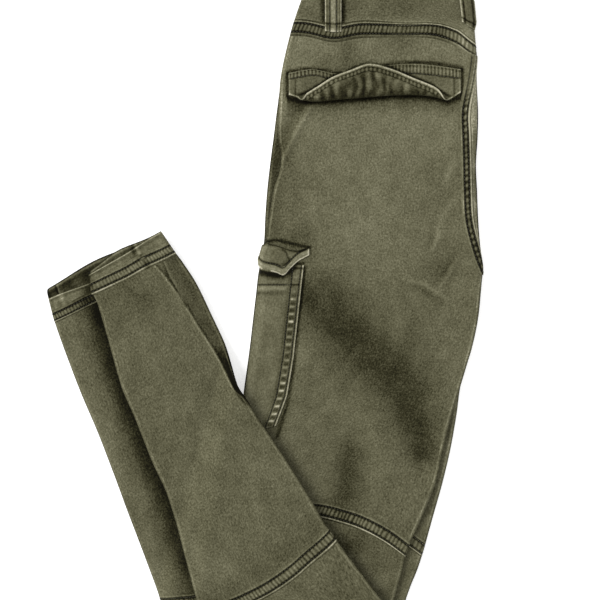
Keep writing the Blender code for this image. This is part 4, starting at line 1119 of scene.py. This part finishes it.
def back_belt_loop():
    """The loop over the seat seam bends round the fold at the right edge."""
    turns = np.linspace(*BACK_LOOP_TURN, 22)[None, :]
    parts = np.linspace(0, 1, 60)[:, None]
    lean, flat = np.maximum(turns, 0.0), np.minimum(turns, 0.0) * BACK_LOOP_FLAT
    s = WAIST * (1 - (BACK_LOOP_FOOT + (0.99 - BACK_LOOP_FOOT) * parts)) + 0 * turns
    edge = np.minimum(turns - BACK_LOOP_TURN[0], BACK_LOOP_TURN[1] - turns) * 7.5
    lift = 0.8 + 2.6 * smooth(parts / 0.25) * smooth((1 - parts) / 0.2) + 0.6 * smooth(edge / 1.2)
    lift = lift - 0.5 * bell(edge - 3.4, 0.9)
    xl, _, xr, _, _ = leg_line("left", "thigh", s)
    x_mid = xr - WRAP + WRAP * np.sin(lean) + flat
    t = (x_mid - xl) / (xr - xl)
    x, y, _ = np.moveaxis(surface("left", s, t, 0 * s), -1, 0)
    reach = lift + 0.9
    points = np.stack((x + np.sin(lean) * reach, y, TOP / 2 * (1 + np.cos(lean)) + np.cos(lean) * reach), axis=-1)
    # Worn edges and foot, lighter overall; painted shade in the grooves inside the edges, at the foot and where the
    # loop turns over the fold.
    wear_and_highlight = 0.75 * bell(edge - 0.4, 0.9) + 0.7 * bell(parts * 50 - 0.6, 1.0) + 0.15
    shade = 1.2 * bell(edge - 3.0, 1.1) + 1.0 * bell(parts * 50 - 7.0, 1.2) + 0.5 * bell(turns - 0.1, 0.35)
    piece = cloth_mesh("belt_loop_back", points, TRIM, wear_and_highlight, shade, flip=True, thickness=1.2)
    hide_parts("belt_loop_back")


# ---------------------------------------------------------------- back pocket flap

FLAP_COLUMNS = ("x", "seam", "roll", "edge")
FLAP_ROWS = np.array((
    (27.5, 252.2, 226.8, 227.3),
    (40.0, 255.0, 224.5, 227.5),
    (54.5, 257.0, 222.5, 234.9),
    (75.0, 253.3, 224.1, 247.9),
    (95.6, 252.7, 225.7, 256.0),
    (113.9, 256.0, 227.3, 261.4),
    (136.6, 260.3, 229.0, 256.0),
    (160.4, 260.3, 229.5, 246.2),
    (183.0, 258.1, 227.9, 237.1),
    (201.4, 256.0, 223.6, 225.7),
    (212.8, 254.9, 229.0, 229.0),
))
FLAP_ROLL = 2.2
FLAP_LIFT = 1.9


def flap_line(seam, roll, edge, count_down, count_turn, count_up):
    """(y, z, distance from the seam, distance to the free edge) down the flap and round its roll."""
    back = max(edge - roll, 0.0)
    turn = pi * float(smooth(back / 7.0))
    y = list(seam + (roll + FLAP_ROLL - seam) * np.linspace(0, 1, count_down))
    z = [0.0] * count_down
    y += list(roll + FLAP_ROLL - FLAP_ROLL * np.sin(np.linspace(0, turn, count_turn)))
    z += list(FLAP_ROLL * (1 - np.cos(np.linspace(0, turn, count_turn))))
    straight = max(back - FLAP_ROLL, 0.05)
    rise = np.linspace(0.02, 1, count_up)
    y += list(y[-1] - np.cos(turn) * straight * rise)
    z += list(z[-1] + np.sin(turn) * straight * rise + 0.5 * rise * float(smooth(back / 20.0)))
    y, z = np.array(y), np.array(z)
    run = np.concatenate(([0.0], np.cumsum(np.hypot(np.diff(y), np.diff(z)))))
    return y, z, run, run[-1] - run


def back_pocket_flap():
    down, turn, up = 26, 8, 34
    across = 190
    rows = np.linspace(0, len(FLAP_ROWS) - 1, across)
    x = np.interp(rows, np.arange(len(FLAP_ROWS)), FLAP_ROWS[:, 0])
    seam, roll, edge = (np.array(at(FLAP_ROWS[:, k], rows)) for k in (1, 2, 3))
    lines = [flap_line(*values, down, turn, up) for values in zip(seam, roll, edge)]
    y, z, run, left = (np.array(column) for column in zip(*lines))
    x = np.repeat(x[:, None], y.shape[1], axis=1)
    index = np.arange(y.shape[1])[None, :]
    under = smooth((index - down - 3) / 5.0)
    width = run[:, -1:]
    # puckers of the underside, the stitched seam, and the bound free edge
    pucker = (np.sin(x / 1.75 + 2.4 * rumple(x, y, 13.0, 121)) * 0.55 + rumple(x, y * 0.4, 5.0, 122)) * under
    pucker = pucker * smooth((left - 5) / 6) * smooth((run - 20) / 8)
    span = 6.6 + 2.2 * smooth((x - 90) / 60)
    seam_wave = 0.5 + 0.5 * np.cos(2 * pi * x / 3.9 + 1.5 * rumple(x, 0 * x, 12.0, 123))
    between = smooth(run / 1.2) * smooth((span - run) / 1.2) * (1 - under)
    edge_wave = 0.5 + 0.5 * np.cos(2 * pi * x / 4.3 + 1.5 * rumple(x, 0 * x, 12.0, 124))
    bound = smooth((left - 2.8) / 0.8) * smooth((7.4 - left) / 0.8) * under
    height = (0.5 * pucker + 0.35 * seam_wave * between + 0.35 * edge_wave * bound
              - 0.45 * bell(run - span, 0.8) * (1 - under) - 0.4 * bell(run - 1.3, 0.8)
              - 0.45 * bell(left - 3.3, 0.7) * under - 0.45 * bell(left - 7.4, 0.7) * under
              + 0.5 * bell(left - 1.1, 0.9) + 0.5 * bell(run - 5, 5) * (1 - under))
    ground = thigh_relief(x, y, 0 * x, 0 * x)
    points = np.stack((x, y, TOP + FLAP_LIFT + z + height + ground * 0.8), axis=-1)
    # Worn free edge, top edge and ends, with painted highlights on the puckers and the seam and edge waves; painted
    # shade in the stitch grooves, in the pucker hollows, over the underside and roll, under the rim and near the ends.
    wear_and_highlight = (1.35 * bell(left - 0.8, 0.75) + 0.55 * seam_wave * between + 0.45 * edge_wave * bound
            + 0.55 * np.clip(pucker, 0, 1) + 0.45 * bell(run - 0.2, 0.8))
    ends = np.minimum(x - FLAP_ROWS[0, 0], FLAP_ROWS[-1, 0] - x)
    wear_and_highlight = wear_and_highlight + 0.6 * bell(ends - 0.6, 0.9) * (1 - under)
    shade = (0.95 * bell(run - span, 0.8) * (1 - under) + 0.8 * bell(run - 1.6, 0.7) * (1 - under)
             + 0.95 * bell(left - 3.3, 0.7) * under + 0.95 * bell(left - 7.4, 0.7) * under
             + 0.52 * np.clip(-pucker, 0, 1) + 0.24 * under + 0.30 * under * smooth((left - 9.0) / 8.0) + 0.55 * (1 - seam_wave) * between + 0.12
             + 0.55 * (1 - edge_wave) * bound + 0.42 * bell(index - down - 4, 4.0)
             + 1.3 * bell(y - edge[:, None] - 1.9, 1.6) * (1 - under) * smooth((edge - roll)[:, None] / 4.0)
             + 0.6 * bell(ends - 7.0, 1.0) * (1 - under) * smooth((run - span) / 2))
    piece = cloth_mesh("back_pocket_flap", points, TRIM, wear_and_highlight, shade, run, flip=True, thickness=1.2)
    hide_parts("back_pocket_flap")
    up_normal = np.broadcast_to(np.array((0.0, 0.0, 1.0)), points[:, 0].shape)
    for distance in (3.3, 7.4):
        line = np.array([[np.interp(-distance, -left[i], points[i, :, k]) for k in range(3)]
                         for i in range(across) if left[i, down] > 14])
        sew(line, up_normal[:len(line)], sink=-0.35)
    for part, low_x, high_x in (("left", 30.0, 82.0), ("right", 108.0, 210.0)):
        keep = [i for i in range(across) if low_x < x[i, 0] < high_x]
        line = np.array([[np.interp(span[i, 0], run[i, :down], points[i, :down, k]) for k in range(3)]
                         for i in keep])
        covered = np.array([edge[i] > seam[i] - span[i, 0] + 1.0 for i in keep])
        if (~covered).sum() > 4:
            sew(line[~covered], up_normal[:(~covered).sum()], sink=-0.35)


# ---------------------------------------------------------------- cargo pocket and its flap

POCKET_EDGE = ((60.0, 45.5), (28.1, 41.6), (-17.3, 36.7), (-57.2, 32.4), (-101.5, 25.4), (-143.0, 12.5))
POCKET_BAND = (2.6, 11.4)       # the two stitch lines, inwards from the pocket's edge
POCKET_STATIONS = ("fork_low", "thigh_b")


def pocket_section(s, places):
    """Distances from the left end and offsets at places (mm inwards from the pocket's edge)."""
    left, y_left, _, _, _ = (float(value) for value in leg_line("left", "thigh", np.array(s)))
    edge = float(np.interp(-y_left, [-y for y, _ in POCKET_EDGE], [x for _, x in POCKET_EDGE])) - left
    angles = np.linspace(pi / 2, radians(205.0), 20)
    w = np.concatenate(([edge], CURL + CURL * np.cos(angles)))
    o = np.concatenate(([TUBE / 2], TUBE / 2 * np.sin(angles)))
    run = np.concatenate(([0.0], np.cumsum(np.hypot(np.diff(w), np.diff(o)))))
    places = np.concatenate((places, np.linspace(places[-1], run[-1], 30)[1:]))
    return np.interp(places, run, w), np.interp(places, run, o), places


def cargo_pocket():
    inner, outer = POCKET_BAND
    places = np.concatenate((np.arange(0.0, 4.0, 0.45), np.arange(4.0, 9.6, 0.9), np.arange(9.8, 13.4, 0.45)))
    first, last = (STATION[name] for name in POCKET_STATIONS)
    stations = np.linspace(first + 0.45, last - 0.5, 210)
    rows = [pocket_section(s, places) for s in stations]
    w, o, run = (np.array(column) for column in zip(*rows))
    s = np.repeat(stations[:, None], w.shape[1], axis=1)
    t = w / width_at("left", s)
    x, y, _ = np.moveaxis(surface("left", s, t, -o), -1, 0)
    along = -y
    wave = 0.5 + 0.5 * np.cos(2 * pi * along / 8.2 + 0.9 * rumple(along, 0 * along, 15.0, 131))
    uneven = 0.7 + 0.45 * rumple(along, run, 9.0, 133)
    wave = wave ** 2.5 * uneven
    low = smooth((18.0 - y) / 8.0)
    between = smooth((run - inner - 0.8) / 1.6) * smooth((outer - 0.8 - run) / 1.6) * (0.15 + 0.85 * low)
    puff = smooth((run - outer - 1.5) / 6)
    height = (0.9 * wave * between - 0.6 * bell(run - inner, 0.6) - 0.6 * bell(run - outer, 0.6)
              + 0.4 * bell(run - 0.9, 0.8) + 0.5 * rumple(x, y, 24.0, 132, 1.4) * puff)
    hem_y = 24.0
    height = height - 0.5 * bell(y - hem_y, 1.0) * puff + 0.5 * bell(y - hem_y + 4.5, 3.0) * puff
    height = height - 0.35 * bell(y - hem_y + 9.0, 1.6) * puff
    top = np.clip(o / (TUBE / 2), 0, 1) ** 2
    cover = 0.3 + 0.7 * thigh_cover(x, y)
    ground = thigh_relief(x, y, s, t)
    points = surface("left", s, t, -(o + 1.45 + (ground + height * cover) * top))
    # Painted shade in the stitch grooves, the pucker hollows, the hem line and crease and outside the band; worn edge,
    # hem ridge and top line, and painted highlights on the puckers.
    shade = (1.15 * bell(run - inner, 0.75) + 1.15 * bell(run - outer, 0.75) + 0.60 * (1 - wave) * between
             + 0.9 * bell(y - hem_y, 1.0) * puff + 0.35 * bell(y - hem_y + 9.0, 2.2) * puff + 0.10
             + 0.30 * bell(run - outer - 2.4, 1.6))
    # Painted shadow of the cargo flap's rim on the pocket.
    flap_edge = np.interp(x, (-6.0, 5.0, 21.0, 30.0, 40.0), (40.0, 37.5, 35.5, 42.0, 52.0))
    shade = shade + 1.5 * bell(y - flap_edge + 1.5, 4.4) * smooth((flap_edge + 2.0 - y) / 2.0)
    shade = shade + 1.0 * bell(y - hem_y, 1.0) * (run > inner) * (run < outer)
    wear_and_highlight = 1.1 * bell(run - 0.5, 0.65) + 1.30 * wave * between + 0.35 * bell(y - hem_y + 4.0, 2.5) * puff
    wear_and_highlight = wear_and_highlight + 0.25 * bell(run[:, -1:] - run - 9.0, 4.0)
    wear_and_highlight = wear_and_highlight + 0.8 * bell(y[:1] - y - 0.8, 0.9) * (run < outer + 4.0)
    shade = shade + 0.8 * bell(y[:1] - y - 3.6, 1.0) * (run < outer + 4.0)
    piece = cloth_mesh("cargo_pocket", points, TRIM, wear_and_highlight, shade, run, flip=True, thickness=1.1)
    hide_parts("cargo_pocket")
    normals = np.broadcast_to(np.array((0.0, 0.0, 1.0)), points[:, 0].shape)
    for distance in POCKET_BAND:
        column = int(np.argmin(np.abs(run[0] - distance)))
        sew(points[:, column], normals, 3.0, sink=-0.2)
    row = int(np.argmin(np.abs(y[:, 30] - hem_y)))
    keep = (run[row] > outer + 1) & (o[row] > 1.0)
    sew(points[row][keep], normals[:int(keep.sum())], 2.9, sink=-0.2)


CARGO_FLAP_ROWS = (
    # angle round the side or place on top, seam, edge
    ("side", 205.0, 66.0, 50.0),
    ("side", 182.0, 66.4, 48.0),
    ("side", 159.0, 67.0, 45.5),
    ("side", 136.0, 67.6, 43.5),
    ("side", 113.0, 68.2, 41.5),
    ("side", 90.0, 69.0, 40.0),
    ("top", 5.0, 68.5, 38.9),
    ("top", 14.0, 66.5, 36.9),
    ("top", 22.0, 64.0, 34.3),
    ("top", 29.0, 61.5, 41.6),
    ("top", 37.0, 61.0, 49.0),
    ("top", 44.0, 62.5, 53.0),
    ("top", 49.5, 64.0, 56.0),
)
RIM_WIDTH = 8.6
FLAP_BUTTON = (17.5, 53.0, 7.5, 1.5)    # x, y, radius and height of the button felt through the flap


def cargo_flap():
    count = 90
    places = np.linspace(0, len(CARGO_FLAP_ROWS) - 1, count)
    seam = at(np.array([row[2] for row in CARGO_FLAP_ROWS]), places)
    edge = at(np.array([row[3] for row in CARGO_FLAP_ROWS]), places)
    parts = np.linspace(0, 1, 34)
    y = seam[:, None] + (edge - seam)[:, None] * parts[None, :]
    row_at = np.interp(-y, -at(THIGH["y_left"], np.arange(5.0, 12.0, 0.25)), np.arange(5.0, 12.0, 0.25))
    left = at(THIGH["top_left"], row_at)
    side = np.array([row[0] == "side" for row in CARGO_FLAP_ROWS])
    angle = np.interp(places, np.arange(side.sum()), [radians(row[1]) for row in CARGO_FLAP_ROWS if row[0] == "side"])
    flat_x = np.interp(places, np.arange(side.sum(), len(side)), [row[1] for row in CARGO_FLAP_ROWS if row[0] == "top"])
    last_side = side.sum() - 1
    share = np.clip(places - last_side, 0, 1)
    distance = (edge - seam)[:, None] * (parts - 1)[None, :]
    reach = 2.6 + 0.5 * smooth((distance - 1) / 5)
    rim = bell(distance - 4.2, 3.2)
    groove = bell(distance - RIM_WIDTH, 1.2)
    px, py, radius, rise = FLAP_BUTTON
    x_top = (left + CURL)[...] * (1 - share)[:, None] + flat_x[:, None] * share[:, None]
    from_button = np.hypot((x_top - px) * 0.85, y - py) + 1.3 * rumple(x_top, y, 6.0, 142)
    button = smooth((radius + 1.6 - from_button) / 4.0)
    ring = bell(from_button - radius - 0.8, 1.2) * (0.65 + 0.35 * np.sign(x_top - px - 2.0))
    height = 0.7 * rim - 0.5 * groove + rise * button * (share[:, None] > 0) + 0.25 * rumple(x_top, y, 8.0, 141)
    reach = reach + height
    on_side = (places <= last_side)[:, None]
    x = np.where(on_side, left + CURL + (CURL + reach) * np.cos(angle)[:, None], x_top)
    z = np.where(on_side, LAYER + TUBE / 2 + (TUBE / 2 + reach) * np.sin(angle)[:, None], TOP + reach)
    points = np.stack((x, y, z), axis=-1)
    free = np.minimum(distance, (count - 1 - np.arange(count))[:, None] * 0.62)
    # Worn free edge and rim, lighter on the side; painted shade in the groove inside the rim, over and round the button
    # and along the seam.
    wear_and_highlight = 1.0 * bell(free - 0.5, 0.9) + 0.35 * rim + 0.04 + 0.3 * bell(angle[:, None] - 2.0, 0.5) * on_side
    from_seam = (seam - edge)[:, None] * parts[None, :]
    shade = 1.45 * groove + (0.8 * ring + 0.28 * button) * (share[:, None] > 0) + 1.1 * bell(from_seam, 2.0)
    piece = cloth_mesh("cargo_flap", points, TRIM, wear_and_highlight, shade, flip=True, thickness=1.3)
    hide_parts("cargo_flap")
    normals = np.broadcast_to(np.array((0.0, 0.0, 1.0)), points[:, 0].shape)
    line = np.array([[np.interp(-RIM_WIDTH, -distance[i], points[i, :, k]) for k in range(3)]
                     for i in range(count) if places[i] >= last_side - 1 and distance[i, 0] > RIM_WIDTH + 2])
    sew(line, normals[:len(line)], 2.9, sink=-0.2)


# ---------------------------------------------------------------- camera, light and floor

def stage():
    bpy.ops.mesh.primitive_plane_add(size=30.0, location=(0, 0, -0.0004))
    floor = bpy.context.object
    floor.name = "floor"
    pale = plain("pale_floor", (0.92, 0.92, 0.92), 0.9)
    pale.node_tree.nodes["Principled BSDF"].inputs["Emission Color"].default_value = (1, 1, 1, 1)
    pale.node_tree.nodes["Principled BSDF"].inputs["Emission Strength"].default_value = 0.52
    floor.data.materials.append(pale)
    key_data = bpy.data.lights.new("key", "SUN")
    key_data.energy = 2.3
    key_data.angle = radians(28)
    key = bpy.data.objects.new("key", key_data)
    key.rotation_mode = "QUATERNION"
    key.rotation_quaternion = Vector((0.80, -0.45, -0.80)).to_track_quat("-Z", "Y")
    bpy.context.scene.collection.objects.link(key)
    world = bpy.data.worlds.new("studio")
    bpy.context.scene.world = world
    world.use_nodes = True
    background = world.node_tree.nodes["Background"]
    background.inputs["Color"].default_value = (1.0, 1.0, 1.0, 1)
    background.inputs["Strength"].default_value = 0.74
    camera_data = bpy.data.cameras.new("camera")
    camera_data.lens = 100
    camera_data.sensor_width = 36
    camera = bpy.data.objects.new("camera", camera_data)
    camera.location = (0.0386, 0.0057, 1.8 + TOP / 1000)
    bpy.context.scene.collection.objects.link(camera)
    bpy.context.scene.camera = camera
    bpy.context.scene.view_settings.view_transform = "Standard"


stage()
PANELS = build_panels()
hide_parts("hidden_fronts")
waistband()
side_belt_loop()
back_belt_loop()
back_pocket_flap()
cargo_pocket()
cargo_flap()
hem("right_hem", "right", True)
hem("left_hem", "left", True)
build_seams()
build_stitches()
declare_sheets()
